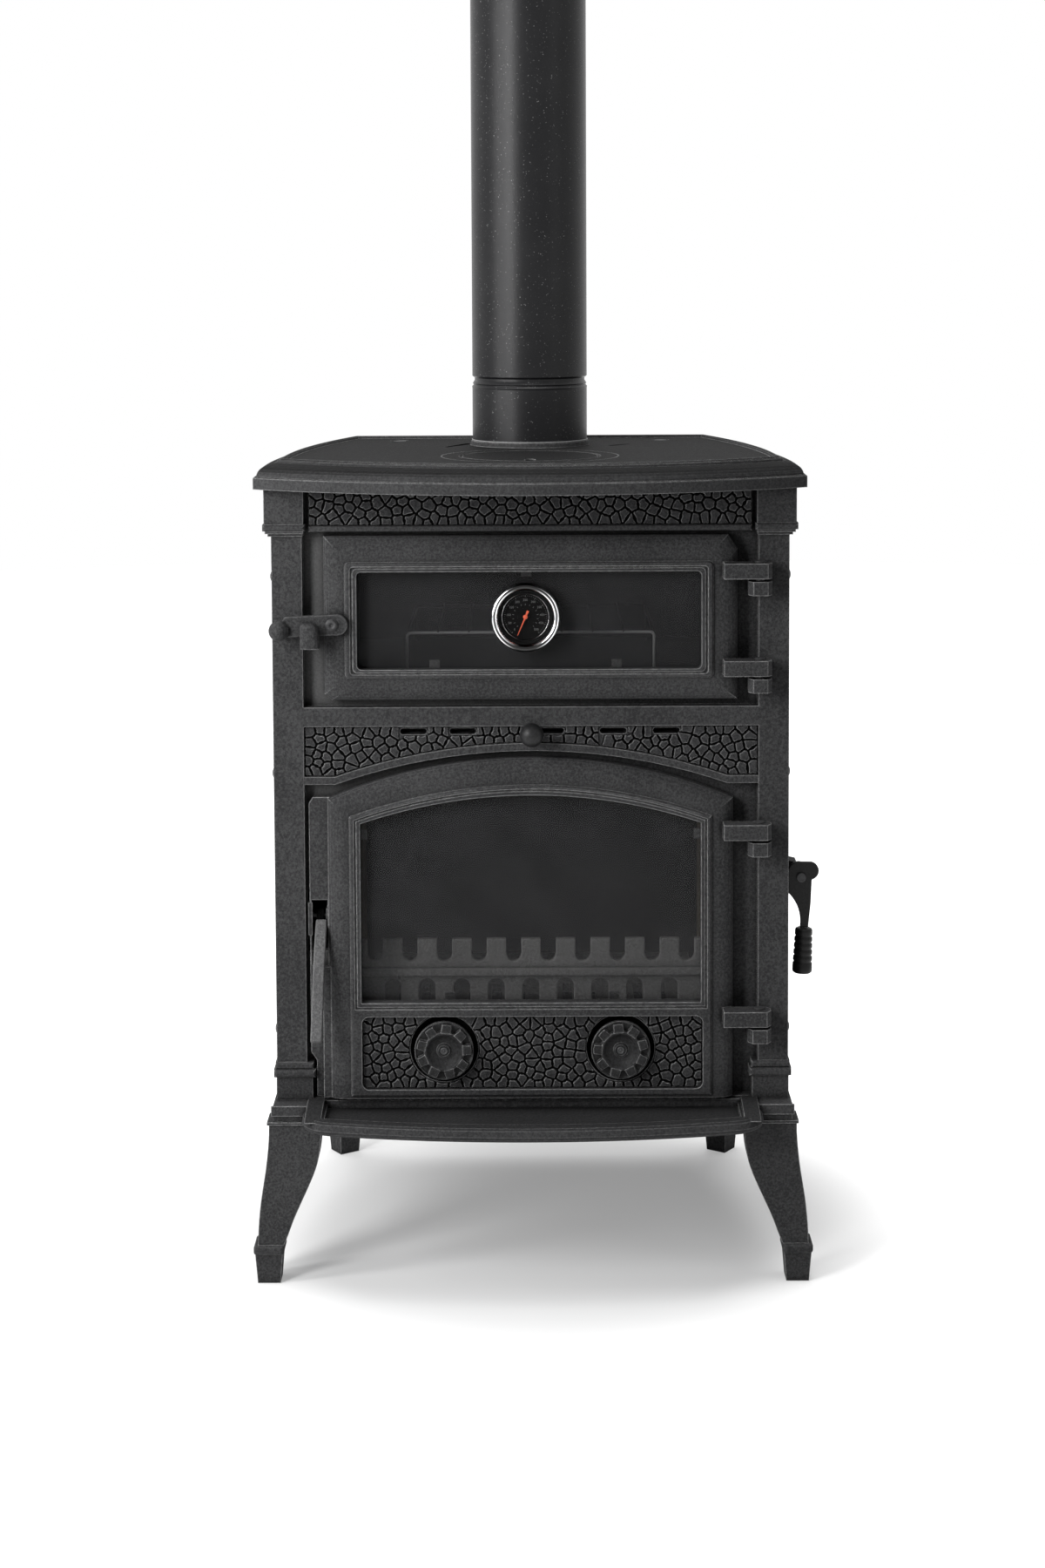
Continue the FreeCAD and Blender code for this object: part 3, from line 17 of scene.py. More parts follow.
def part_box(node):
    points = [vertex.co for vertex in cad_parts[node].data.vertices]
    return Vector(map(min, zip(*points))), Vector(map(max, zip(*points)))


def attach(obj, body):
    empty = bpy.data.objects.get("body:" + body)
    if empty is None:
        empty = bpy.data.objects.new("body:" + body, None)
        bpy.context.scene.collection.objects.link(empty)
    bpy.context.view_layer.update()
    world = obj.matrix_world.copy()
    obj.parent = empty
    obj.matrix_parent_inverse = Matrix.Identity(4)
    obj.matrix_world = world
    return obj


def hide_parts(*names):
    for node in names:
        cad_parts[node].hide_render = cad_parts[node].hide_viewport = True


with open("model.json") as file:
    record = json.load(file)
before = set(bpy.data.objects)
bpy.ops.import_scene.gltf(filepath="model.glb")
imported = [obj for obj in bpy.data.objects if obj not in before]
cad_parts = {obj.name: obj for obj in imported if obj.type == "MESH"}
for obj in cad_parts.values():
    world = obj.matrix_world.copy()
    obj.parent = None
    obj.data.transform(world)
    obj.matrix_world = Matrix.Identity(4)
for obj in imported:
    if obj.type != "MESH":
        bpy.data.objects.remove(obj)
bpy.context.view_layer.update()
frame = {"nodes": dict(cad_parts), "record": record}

MM = 0.001
PILLAR_FACE = -150.0      # Y of the front of the pillars, in millimetres


def at(x, behind, z):
    """A place from left to right, behind the face of the pillars, and up, in mm."""
    return Vector((x * MM, (PILLAR_FACE + behind) * MM, z * MM))


# %% [markdown]
# The camera stands at chest height, a good two and a half metres in front of
# the pillars, and looks a little down.  A long lens keeps the cooker's upright
# lines almost parallel.  The frame is slid down with the lens shift instead of
# tilting the camera more, which would make the legs lean in.

# %% Camera
lens = bpy.data.cameras.new("camera")
camera = bpy.data.objects.new("camera", lens)
bpy.context.scene.collection.objects.link(camera)
camera.location = (0.0, -2.650, 0.9936)
DOWN, ROLL = 4.28, -0.25      # degrees
look = Matrix.Rotation(math.radians(90.0 - DOWN), 4, "X") @ Matrix.Rotation(math.radians(ROLL), 4, "Z")
camera.rotation_euler = look.to_euler()
lens.lens = 60.0
lens.sensor_width = 36.0
lens.sensor_fit = "AUTO"
TALL = 1800.0                 # height of the picture, in its own small squares
lens.shift_x = -8.5 / TALL
lens.shift_y = -376.0 / TALL
lens.clip_end = 60.0
bpy.context.scene.camera = camera
bpy.context.scene.view_settings.view_transform = "Standard"
print("camera pitched down by", DOWN, "degrees with a", lens.lens, "mm lens")

# %% [markdown]
# Black iron on white paper is hard to light: the paper must stay white while
# the iron keeps its shape.  Lamps alone would have to be so strong that every
# edge burnt out.  So the white is a colour that only the camera and shiny
# surfaces see, and the lamps are set for the iron.

# %% White surroundings
def wire(tree, source, target):
    tree.links.new(source, target)


def seen_directly(tree):
    """1 for what the camera, a gloss or a pane of glass looks at."""
    path = tree.nodes.new("ShaderNodeLightPath")
    first = tree.nodes.new("ShaderNodeMath")
    first.operation = "MAXIMUM"
    second = tree.nodes.new("ShaderNodeMath")
    second.operation = "MAXIMUM"
    wire(tree, path.outputs["Is Camera Ray"], first.inputs[0])
    wire(tree, path.outputs["Is Glossy Ray"], first.inputs[1])
    wire(tree, first.outputs[0], second.inputs[0])
    wire(tree, path.outputs["Is Transmission Ray"], second.inputs[1])
    return second.outputs[0]


world = bpy.data.worlds.new("studio")
bpy.context.scene.world = world
world.use_nodes = True
sky = world.node_tree
sky.nodes.clear()
room_light = sky.nodes.new("ShaderNodeBackground")
room_light.inputs["Color"].default_value = (0.95, 0.97, 1.0, 1.0)
room_light.inputs["Strength"].default_value = 0.05
white_paper = sky.nodes.new("ShaderNodeBackground")
white_paper.inputs["Color"].default_value = (1.0, 1.0, 1.0, 1.0)
white_paper.inputs["Strength"].default_value = 1.0
choice = sky.nodes.new("ShaderNodeMixShader")
wire(sky, seen_directly(sky), choice.inputs["Fac"])
wire(sky, room_light.outputs[0], choice.inputs[1])
wire(sky, white_paper.outputs[0], choice.inputs[2])
wire(sky, choice.outputs[0], sky.nodes.new("ShaderNodeOutputWorld").inputs["Surface"])
print("white paper at strength", white_paper.inputs["Strength"].default_value)

# %% [markdown]
# The floor is the same paper.  It has to show the soft shadow under the cooker,
# so part of its brightness comes from the lamps, and the rest is a little glow
# that only the camera sees.  Far from the cooker the glow grows until the
# floor's edge melts into the white behind it.

# %% Floor
def disc_mesh(name, radius, sides):
    shape = bmesh.new()
    bmesh.ops.create_circle(shape, cap_ends=True, radius=radius, segments=sides)
    mesh = bpy.data.meshes.new(name)
    shape.to_mesh(mesh)
    shape.free()
    return mesh


floor = bpy.data.objects.new("floor", disc_mesh("floor", 6.0, 96))
bpy.context.scene.collection.objects.link(floor)
floor.location.z = -0.0004

paper = bpy.data.materials.new("floor paper")
paper.use_nodes = True
tree = paper.node_tree
tree.nodes.clear()
matt = tree.nodes.new("ShaderNodeBsdfDiffuse")
matt.inputs["Color"].default_value = (0.64, 0.64, 0.64, 1.0)
place = tree.nodes.new("ShaderNodeTexCoord")
far = tree.nodes.new("ShaderNodeVectorMath")
far.operation = "LENGTH"
wire(tree, place.outputs["Object"], far.inputs[0])
spread = tree.nodes.new("ShaderNodeMapRange")
spread.interpolation_type = "SMOOTHSTEP"
spread.inputs["From Min"].default_value = 0.24
spread.inputs["From Max"].default_value = 0.50
spread.inputs["To Min"].default_value = 0.27
spread.inputs["To Max"].default_value = 1.0
wire(tree, far.outputs["Value"], spread.inputs["Value"])
strength = tree.nodes.new("ShaderNodeMath")
strength.operation = "MULTIPLY"
wire(tree, spread.outputs[0], strength.inputs[0])
wire(tree, seen_directly(tree), strength.inputs[1])
glow = tree.nodes.new("ShaderNodeEmission")
glow.inputs["Color"].default_value = (1.0, 1.0, 1.0, 1.0)
wire(tree, strength.outputs[0], glow.inputs["Strength"])
both = tree.nodes.new("ShaderNodeAddShader")
wire(tree, matt.outputs[0], both.inputs[0])
wire(tree, glow.outputs[0], both.inputs[1])
wire(tree, both.outputs[0], tree.nodes.new("ShaderNodeOutputMaterial").inputs["Surface"])
floor.data.materials.append(paper)
print("floor of", round(floor.dimensions.x, 2), "m")

# %% [markdown]
# Four soft lamps.  A tall softbox stands close by on the left, so that the light
# falls away towards the right-hand pillar.  Two narrow ones, a strip further
# round on the left and a weak one on the right, draw the bright bands down the
# pipe.  The big one hangs high overhead, for the paper and the soft shadow
# between the legs.

# %% Lamps
def softbox(name, place, aim, width, height, power):
    light = bpy.data.lights.new(name, "AREA")
    light.shape = "RECTANGLE"
    light.size = width
    light.size_y = height
    light.energy = power
    lamp = bpy.data.objects.new(name, light)
    bpy.context.scene.collection.objects.link(lamp)
    lamp.location = place
    direction = Vector(aim) - Vector(place)
    lamp.rotation_euler = direction.to_track_quat("-Z", "Y").to_euler()
    lamp.visible_camera = False
    print(name, "of", power, "W")


softbox("key softbox", (-1.16, -1.34, 1.26), (0.0, 0.0, 0.72), 0.44, 1.2, 28.0)
softbox("pipe strip", (-1.30, -0.62, 1.16), (0.0, 0.05, 0.80), 0.22, 1.2, 10.0)
softbox("fill strip", (1.45, -1.05, 1.30), (0.0, 0.0, 0.95), 0.14, 1.0, 1.0)
softbox("overhead box", (-0.2, 0.2, 6.0), (0.0, 0.0, 0.0), 3.4, 3.4, 320.0)

# %% [markdown]
# The castings are sand-cast iron under matt black stove paint.  Painted pictures
# would stretch over these shapes, so every finish is mixed from noise in the
# cooker's own coordinates.  The first helpers start a material, make noise, and
# stretch a value from one range to another, which is how noise becomes a tone.

# %% Start a finish
def new_finish(name):
    material = bpy.data.materials.new(name)
    material.use_nodes = True
    nodes = material.node_tree
    surface = nodes.nodes["Principled BSDF"]
    return material, nodes, surface


def coordinates(tree):
    return tree.nodes.new("ShaderNodeTexCoord").outputs["Object"]


def cloud(tree, place, scale, detail=3.0, rough=0.55):
    """Noise whose lumps are about one over the scale, in metres."""
    noise = tree.nodes.new("ShaderNodeTexNoise")
    noise.inputs["Scale"].default_value = scale
    noise.inputs["Detail"].default_value = detail
    noise.inputs["Roughness"].default_value = rough
    wire(tree, place, noise.inputs["Vector"])
    return noise.outputs["Fac"]


def span(tree, value, low, high, to_low, to_high):
    """Stretch a value from one range to another."""
    node = tree.nodes.new("ShaderNodeMapRange")
    for key, number in (("From Min", low), ("From Max", high), ("To Min", to_low), ("To Max", to_high)):
        node.inputs[key].default_value = number
    wire(tree, value, node.inputs["Value"])
    return node.outputs[0]


print("noise at a scale of 950 gives grains of about", round(1000 / 950, 1), "mm")

# %% [markdown]
# A casting has several layers: paint, wear with painted highlights on its edges,
# and painted shade with a little soot in its corners over both.  Each layer is a
# colour mixed in by a share between 0 and 1.  Shares are multiplied where both
# have to hold and added where either will do.  Relief turns the same noise into
# small bumps, so that colour and grain stay together.

# %% Mix colours and relief
def calculate(tree, operation, first, second):
    """One step of arithmetic between two outputs, or an output and a number."""
    node = tree.nodes.new("ShaderNodeMath")
    node.operation = operation
    for socket, value in zip(node.inputs, (first, second)):
        if isinstance(value, float):
            socket.default_value = value
        else:
            wire(tree, value, socket)
    return node.outputs[0]


def times(tree, first, second):
    return calculate(tree, "MULTIPLY", first, second)


def plus(tree, first, second):
    return calculate(tree, "ADD", first, second)


def blend_colour(tree, share, first, second):
    """Mix two colours, each a triple or an output."""
    node = tree.nodes.new("ShaderNodeMix")
    node.data_type = "RGBA"
    wire(tree, share, node.inputs["Factor"])
    for socket, colour in (("A", first), ("B", second)):
        target = [s for s in node.inputs if s.name == socket and s.type == "RGBA"][0]
        if isinstance(colour, tuple):
            target.default_value = colour + (1.0,)
        else:
            wire(tree, colour, target)
    return [s for s in node.outputs if s.type == "RGBA"][0]


def relief(tree, height, distance, normal=None):
    bump = tree.nodes.new("ShaderNodeBump")
    bump.inputs["Distance"].default_value = distance
    bump.inputs["Strength"].default_value = 1.0
    wire(tree, height, bump.inputs["Height"])
    if normal is not None:
        wire(tree, normal, bump.inputs["Normal"])
    return bump.outputs["Normal"]


print("colours and relief can be mixed")

# %% [markdown]
# Handling polishes raised edges, which also get painted highlights, and corners
# get painted shade with a little soot.  Painting that by hand would have to be
# done again after every change of shape, so the finish reads the shape itself.
# A Bevel node tells where an edge is near, and Ambient Occlusion tells how closed
# in a place is.  Where a face looks and where it lies are read too, because flat
# tops get painted shade and the latch-side recess painted light.

# %% Read the shape
def component(tree, vector, axis):
    """One of the three numbers of a vector."""
    parts = tree.nodes.new("ShaderNodeSeparateXYZ")
    wire(tree, vector, parts.inputs[0])
    return parts.outputs[axis]


def facing(tree, axis):
    """How much a face looks along an axis."""
    return component(tree, tree.nodes.new("ShaderNodeNewGeometry").outputs["Normal"], axis)


def facing_up(tree):
    """1 on a face that looks at the ceiling, 0 on an upright one."""
    return span(tree, facing(tree, "Z"), 0.25, 0.80, 0.0, 1.0)


def rounded(tree, radius):
    """The surface as if its edges were rounded, for light to catch."""
    bevel = tree.nodes.new("ShaderNodeBevel")
    bevel.samples = 4
    bevel.inputs["Radius"].default_value = radius
    return bevel.outputs["Normal"]


def edge_share(tree, radius):
    """0 on a flat face, towards 1 along an edge."""
    sharp = tree.nodes.new("ShaderNodeNewGeometry")
    dot = tree.nodes.new("ShaderNodeVectorMath")
    dot.operation = "DOT_PRODUCT"
    wire(tree, rounded(tree, radius), dot.inputs[0])
    wire(tree, sharp.outputs["Normal"], dot.inputs[1])
    return span(tree, dot.outputs["Value"], 0.995, 0.78, 0.0, 1.0)


def nook(tree, reach):
    """1 in the open, towards 0 in a corner or a gap."""
    closed = tree.nodes.new("ShaderNodeAmbientOcclusion")
    closed.samples = 4
    closed.inputs["Distance"].default_value = reach
    return closed.outputs["AO"]


def recess_light_share(tree):
    """1 on what lies more than 11 mm behind the pillars, on the latch side, where light is painted in."""
    behind = span(tree, component(tree, coordinates(tree), "Y"), PILLAR_FACE * MM, 0.0, 0.0, -PILLAR_FACE * MM)
    deep = span(tree, behind, 8.0 * MM, 11.0 * MM, 0.0, 1.0)
    latch_side = span(tree, component(tree, coordinates(tree), "X"), -100.0 * MM, 100.0 * MM, 1.0, 0.0)
    return times(tree, deep, latch_side)


print("edges, corners, tops and recesses can be read")

# %% [markdown]
# The iron is one recipe in many tones.  Sand leaves a one-millimetre grain and
# the paint pools in wider clouds, so both drive the tone of the paint.  Over it
# come painted shade on flat tops, painted light in the latch-side recess, worn
# edges brightened further as painted highlights, and painted shade with a little
# soot in corners and gaps.  Its gloss is kept low: against white paper a glossier
# black would turn grey.

# %% The recipe for iron
# Near-black of the painted shade on flat tops and, with a little soot, in corners and gaps.
SHADE_AND_SOOT = (0.004, 0.004, 0.004)


def sandy_tone(tree, place, sand, grit):
    """Broad clouds, coarse grit and fine sand, from dark at 0 to light at 1."""
    broad = cloud(tree, place, 14.0, 4.0)
    tone = plus(tree, span(tree, broad, 0.3, 0.7, 0.0, 0.45), span(tree, sand, 0.3, 0.7, -0.15, 0.45))
    return plus(tree, tone, span(tree, grit, 0.32, 0.68, -0.45, 0.65))


def iron(name, dark, light, edge, rough=(0.60, 0.76), gloss=0.06, grain=0.00026, edge_mm=1.2,
         soot_and_shade=0.85, reach=8.0, painted_top_shade=0.0, painted_recess_light=None):
    """Sand-cast iron: cloudy paint, sandy grain, worn edges with painted highlights, painted shade in corners,
    and if asked painted shade on tops and painted light in a recess.
    """
    material, tree, surface = new_finish(name)
    place = coordinates(tree)
    sand = cloud(tree, place, 950.0, 2.0, 0.6)
    grit = cloud(tree, place, 430.0, 2.0, 0.7)
    peel = cloud(tree, place, 260.0, 3.0, 0.5)
    paint = blend_colour(tree, sandy_tone(tree, place, sand, grit), dark, light)
    # Painted shade: faces that look up are darkened towards near-black.
    if painted_top_shade:
        paint = blend_colour(tree, times(tree, facing_up(tree), painted_top_shade), paint, SHADE_AND_SOOT)
    # Painted light: the latch-side recess, in the shadow of the pillar, is lightened in patches.
    if painted_recess_light:
        patchy = span(tree, cloud(tree, place, 420.0, 3.0, 0.6), 0.3, 0.7, 0.55, 1.0)
        paint = blend_colour(tree, times(tree, recess_light_share(tree), patchy), paint, painted_recess_light)
    # Worn edges, lightened further as painted highlights.
    wear_and_highlight = times(tree, edge_share(tree, edge_mm * MM), span(tree, peel, 0.3, 0.62, 0.35, 1.0))
    worn = blend_colour(tree, wear_and_highlight, paint, edge)
    # Painted shade with a little soot: closed-in corners and gaps are darkened towards near-black.
    soot_and_shade_share = span(tree, nook(tree, reach * MM), 0.28, 0.86, soot_and_shade, 0.0)
    wire(tree, blend_colour(tree, soot_and_shade_share, worn, SHADE_AND_SOOT), surface.inputs["Base Color"])
    wire(tree, span(tree, sand, 0.3, 0.7, rough[0], rough[1]), surface.inputs["Roughness"])
    surface.inputs["Specular IOR Level"].default_value = gloss
    height = plus(tree, plus(tree, sand, grit), span(tree, peel, 0.2, 0.8, 0.0, 1.6))
    wire(tree, relief(tree, height, grain, rounded(tree, 0.8 * MM)), surface.inputs["Normal"])
    return material


# The near-black used for painted shade.
print("soot reflects", SHADE_AND_SOOT[0])

# %% [markdown]
# The outer castings share one black.  The front has painted light in its
# latch-side recess, the top and the hearth have painted shade where they lie
# flat, and the pebbles have the brightest edges, worn by a cloth that reaches
# only those and brightened further as painted highlights.

# %% Outer castings
finishes = {}
finishes["cast_iron"] = iron("stove paint on sand-cast iron", (0.028, 0.028, 0.029), (0.062, 0.062, 0.063),
                             (0.48, 0.48, 0.48), edge_mm=1.6, soot_and_shade=0.97)
# The front frame gets painted light in its latch-side recess.
frame_iron = iron("stove paint, with painted light in the latch-side recess", (0.028, 0.028, 0.029), (0.062, 0.062, 0.063),
                  (0.40, 0.40, 0.40), edge_mm=1.5, soot_and_shade=0.97, painted_recess_light=(0.11, 0.11, 0.11))
# The top and the hob lid get painted shade where they lie flat.
top_iron = iron("stove paint, with painted shade on top", (0.034, 0.034, 0.035), (0.062, 0.062, 0.063),
                (0.42, 0.42, 0.42), gloss=0.03, painted_top_shade=0.84, edge_mm=1.4)
# The hearth gets painted shade where it lies flat, and with a long reach also in the corner under the doors.
hearth_iron = iron("stove paint, with painted shade on top and under the doors", (0.030, 0.030, 0.031), (0.056, 0.056, 0.057),
                   (0.36, 0.36, 0.36), gloss=0.04, painted_top_shade=0.40, edge_mm=1.4, soot_and_shade=0.97, reach=22.0)
# The pebbles get the brightest edges: wear and painted highlights.
stone_iron = iron("pebbles, worn and with painted highlights on their edges", (0.022, 0.022, 0.023), (0.050, 0.050, 0.051),
                  (0.60, 0.60, 0.60), edge_mm=1.0, soot_and_shade=0.97, reach=3.0)
# A near-black sheet of painted shade, laid where only shade would be: under the pebbles' joints, in the
# valves' seats, in the lever's eye and in the top's seams.
painted_shade_sheet = iron("painted shade in the joints and gaps", (0.002, 0.002, 0.002), (0.005, 0.005, 0.005),
                  (0.006, 0.006, 0.006), gloss=0.0)
print("outer castings:", len(finishes), "finish from the record and 5 of their own")

# %% [markdown]
# What hands touch is worn in its own way: the valves are dark with lugs worn
# bright and brightened further by painted highlights, the fire door's lever is
# rubbed almost bare, the side lever is black and a little shiny.  Inside, the
# guard is white with ash and the grate is grey.

# %% Handled and inner iron
valve_iron = iron("handled iron of the valves", (0.010, 0.010, 0.010), (0.026, 0.026, 0.027),
                  (0.50, 0.50, 0.50), rough=(0.45, 0.6), gloss=0.12, edge_mm=1.2, soot_and_shade=0.97, reach=5.0)
lever_iron = iron("hand-worn lever", (0.060, 0.060, 0.061), (0.120, 0.120, 0.121), (0.46, 0.46, 0.46),
                  rough=(0.45, 0.6), gloss=0.2, grain=0.0004, edge_mm=1.8)
black_iron = iron("black side lever", (0.006, 0.006, 0.006), (0.012, 0.012, 0.012), (0.05, 0.05, 0.05),
                  rough=(0.4, 0.5), gloss=0.16, grain=0.00006, edge_mm=0.7)
ash_iron = iron("ash-whitened guard", (0.27, 0.265, 0.26), (0.42, 0.415, 0.41), (0.95, 0.94, 0.92),
                rough=(0.75, 0.9), edge_mm=1.5, soot_and_shade=0.85)
finishes["furnace_iron"] = iron("sooty furnace iron", (0.15, 0.145, 0.14), (0.32, 0.31, 0.30),
                                (0.42, 0.41, 0.40), rough=(0.7, 0.85), soot_and_shade=0.6)
finishes["fasteners"] = iron("blackened fasteners", (0.026, 0.026, 0.027), (0.055, 0.055, 0.057),
                             (0.16, 0.16, 0.16), rough=(0.40, 0.52), gloss=0.3, grain=0.00006, edge_mm=0.5)
finishes["knob_steel"] = iron("satin black knobs", (0.010, 0.010, 0.010), (0.018, 0.018, 0.019),
                              (0.05, 0.05, 0.05), rough=(0.34, 0.44), gloss=0.2, grain=0.00005, edge_mm=0.5)
clip_steel = iron("bare spring steel", (0.20, 0.20, 0.20), (0.32, 0.32, 0.32), (0.50, 0.50, 0.50),
                  rough=(0.40, 0.5), gloss=0.4, grain=0.00005, edge_mm=0.4, soot_and_shade=0.5)
print("iron in the record:", sorted(finishes))

# %% [markdown]
# The pipe is steel sheet under baked black enamel, smoother than the castings,
# with fine pale specks of dust that show in its bright band.  A field of tiny
# cells, kept only near their middles, gives specks without a picture.

# %% Sheet metals
def sheet_metal(name, dark, light, rough, gloss, specks, metal=0.0):
    material, tree, surface = new_finish(name)
    place = coordinates(tree)
    broad = cloud(tree, place, 22.0, 4.0)
    fine = cloud(tree, place, 1500.0, 2.0, 0.6)
    cells = tree.nodes.new("ShaderNodeTexVoronoi")
    cells.inputs["Scale"].default_value = 420.0
    wire(tree, place, cells.inputs["Vector"])
    speck = times(tree, span(tree, cells.outputs["Distance"], 0.10, 0.28, 1.0, 0.0),
                  span(tree, cloud(tree, place, 300.0), 0.52, 0.66, 0.0, 1.0))
    paint = blend_colour(tree, span(tree, broad, 0.3, 0.7, 0.0, 1.0), dark, light)
    wire(tree, blend_colour(tree, speck, paint, specks), surface.inputs["Base Color"])
    wire(tree, span(tree, fine, 0.3, 0.7, rough - 0.05, rough + 0.07), surface.inputs["Roughness"])
    surface.inputs["Specular IOR Level"].default_value = gloss
    surface.inputs["Metallic"].default_value = metal
    wire(tree, relief(tree, fine, 0.00010, rounded(tree, 0.4 * MM)), surface.inputs["Normal"])
    return material


finishes["flue_steel"] = sheet_metal("baked enamel pipe", (0.007, 0.007, 0.008), (0.013, 0.013, 0.014),
                                     0.32, 0.20, (0.24, 0.24, 0.24))
finishes["oven_steel"] = sheet_metal("heat-blued oven sheet", (0.040, 0.040, 0.044), (0.052, 0.051, 0.053),
                                     0.6, 0.15, (0.050, 0.050, 0.050))
finishes["rack_steel"] = sheet_metal("bright rack wire", (0.60, 0.60, 0.60), (0.75, 0.75, 0.74),
                                     0.30, 0.5, (0.3, 0.29, 0.27), metal=0.3)
dull_wire = sheet_metal("heat-dulled wire", (0.05, 0.05, 0.05), (0.09, 0.09, 0.09), 0.5, 0.2,
                        (0.12, 0.12, 0.12))
print("sheet metals mixed")

# %% [markdown]
# Chrome shows only what it mirrors.  White paper all round would make a plain
# white ring of the bezel, while a real room has a dark ceiling and floor.  So
# a painted reflection goes into the chrome's colour: bright where it leans to
# either side and dark above and below, which draws the two crescents.

# %% Chrome
def chrome():
    """Polished chrome with a painted reflection: bright walls at its sides, a dark ceiling and floor."""
    material, tree, surface = new_finish("polished chrome")
    sideways = tree.nodes.new("ShaderNodeMath")
    sideways.operation = "ABSOLUTE"
    wire(tree, facing(tree, "X"), sideways.inputs[0])
    # Painted reflection: bright where the face leans sideways, dark where it looks up or down.
    painted_wall_reflection = span(tree, sideways.outputs[0], 0.16, 0.42, 0.0, 1.0)
    smear = span(tree, cloud(tree, coordinates(tree), 240.0, 3.0), 0.3, 0.7, 0.0, 1.0)
    bright = blend_colour(tree, smear, (0.66, 0.66, 0.67), (0.84, 0.84, 0.85))
    wire(tree, blend_colour(tree, painted_wall_reflection, (0.035, 0.035, 0.035), bright), surface.inputs["Base Color"])
    wire(tree, span(tree, smear, 0.0, 1.0, 0.06, 0.14), surface.inputs["Roughness"])
    surface.inputs["Metallic"].default_value = 1.0
    return material


finishes["thermometer_case"] = chrome()
print("chrome mixed")

# %% [markdown]
# The panes are ceramic glass that looks almost black, because the firebox
# behind them is dark.  Real glass would be a solid that bends light, but a thin
# flat pane hardly bends it, so a film that lets most of the light through costs
# far less and still shows the log guard behind it.

# %% Glass
def pane(name, tint, share, rough, gloss):
    """See-through film with a faint smear of soot and dust."""
    material, tree, surface = new_finish(name)
    place = coordinates(tree)
    smear = cloud(tree, place, 30.0, 5.0, 0.6)
    wire(tree, blend_colour(tree, span(tree, smear, 0.3, 0.7, 0.0, 1.0), tint,
                            tuple(min(1.0, c * 1.5) for c in tint)), surface.inputs["Base Color"])
    wire(tree, span(tree, smear, 0.3, 0.7, rough, rough + 0.05), surface.inputs["Roughness"])
    wire(tree, span(tree, smear, 0.3, 0.75, share, share + 0.06), surface.inputs["Alpha"])
    surface.inputs["Specular IOR Level"].default_value = gloss
    wire(tree, relief(tree, smear, 0.00002), surface.inputs["Normal"])
    return material


finishes["window_glass"] = pane("smoked ceramic glass", (0.028, 0.028, 0.029), 0.34, 0.06, 0.12)
finishes["lens"] = pane("clear cover glass", (0.003, 0.003, 0.003), 0.04, 0.03, 0.02)
print("two panes mixed")

# %% [markdown]
# The dial, its marks, the pointer and the sooted back brick have no wear that
# anyone would see, so they share a simple paint that is only a little uneven.

# %% Plain paints
def painted(name, colour, second, rough, scale=400.0, grain=0.00004):
    """Plain paint with a little unevenness."""
    material, tree, surface = new_finish(name)
    place = coordinates(tree)
    uneven = cloud(tree, place, scale, 3.0)
    wire(tree, blend_colour(tree, span(tree, uneven, 0.3, 0.7, 0.0, 1.0), colour, second),
         surface.inputs["Base Color"])
    wire(tree, span(tree, uneven, 0.3, 0.7, rough, rough + 0.1), surface.inputs["Roughness"])
    surface.inputs["Specular IOR Level"].default_value = 0.12
    wire(tree, relief(tree, uneven, grain), surface.inputs["Normal"])
    return material


finishes["dial"] = painted("matt black dial", (0.002, 0.002, 0.002), (0.005, 0.005, 0.005), 0.8)
finishes["needle"] = painted("orange-red pointer paint", (0.78, 0.12, 0.06), (0.90, 0.20, 0.11), 0.35)
dial_marks = painted("pale dial marks", (0.11, 0.11, 0.11), (0.18, 0.18, 0.18), 0.6)
burnt_brick = painted("soot on the brick behind the fire", (0.030, 0.029, 0.028),
                      (0.048, 0.046, 0.044), 0.85, scale=7.0, grain=0.0003)
print("four paints mixed")

# %% [markdown]
# The seals are fluffy black fibre, so they get a sheen, which is how loose fibre
# ends catch the light.  The side bricks are pressed from vermiculite flakes, and
# cells of noise give each flake its own tone and edge.

# %% Rope and brick
def woven_rope():
    material, tree, surface = new_finish("black fibre rope")
    place = coordinates(tree)
    fluff = cloud(tree, place, 1800.0, 3.0)
    soot_and_shade = cloud(tree, place, 60.0)
    fibre = blend_colour(tree, span(tree, fluff, 0.3, 0.7, 0.0, 1.0),
                         (0.02, 0.02, 0.02), (0.09, 0.088, 0.085))
    wire(tree, blend_colour(tree, span(tree, soot_and_shade, 0.45, 0.7, 0.0, 0.6), fibre, (0.13, 0.12, 0.11)),
         surface.inputs["Base Color"])
    wire(tree, span(tree, fluff, 0.3, 0.7, 0.8, 0.95), surface.inputs["Roughness"])
    surface.inputs["Sheen Weight"].default_value = 0.25
    wire(tree, relief(tree, fluff, 0.0002), surface.inputs["Normal"])
    return material


def pressed_brick():
    """Vermiculite board: warm buff, flecked with gold and dark flakes, and sooty."""
    material, tree, surface = new_finish("pressed vermiculite brick")
    place = coordinates(tree)
    cells = tree.nodes.new("ShaderNodeTexVoronoi")
    cells.inputs["Scale"].default_value = 330.0
    wire(tree, place, cells.inputs["Vector"])
    flake = span(tree, cells.outputs["Distance"], 0.1, 0.6, 0.0, 1.0)
    soot_and_shade_share = span(tree, cloud(tree, place, 9.0, 5.0), 0.42, 0.68, 0.35, 0.675)
    board = blend_colour(tree, flake, (0.42, 0.33, 0.22), (0.66, 0.57, 0.43))
    wire(tree, blend_colour(tree, soot_and_shade_share, board, (0.030, 0.028, 0.026)), surface.inputs["Base Color"])
    wire(tree, span(tree, flake, 0.0, 1.0, 0.75, 0.95), surface.inputs["Roughness"])
    wire(tree, relief(tree, flake, 0.0006, rounded(tree, 1.5 * MM)), surface.inputs["Normal"])
    return material


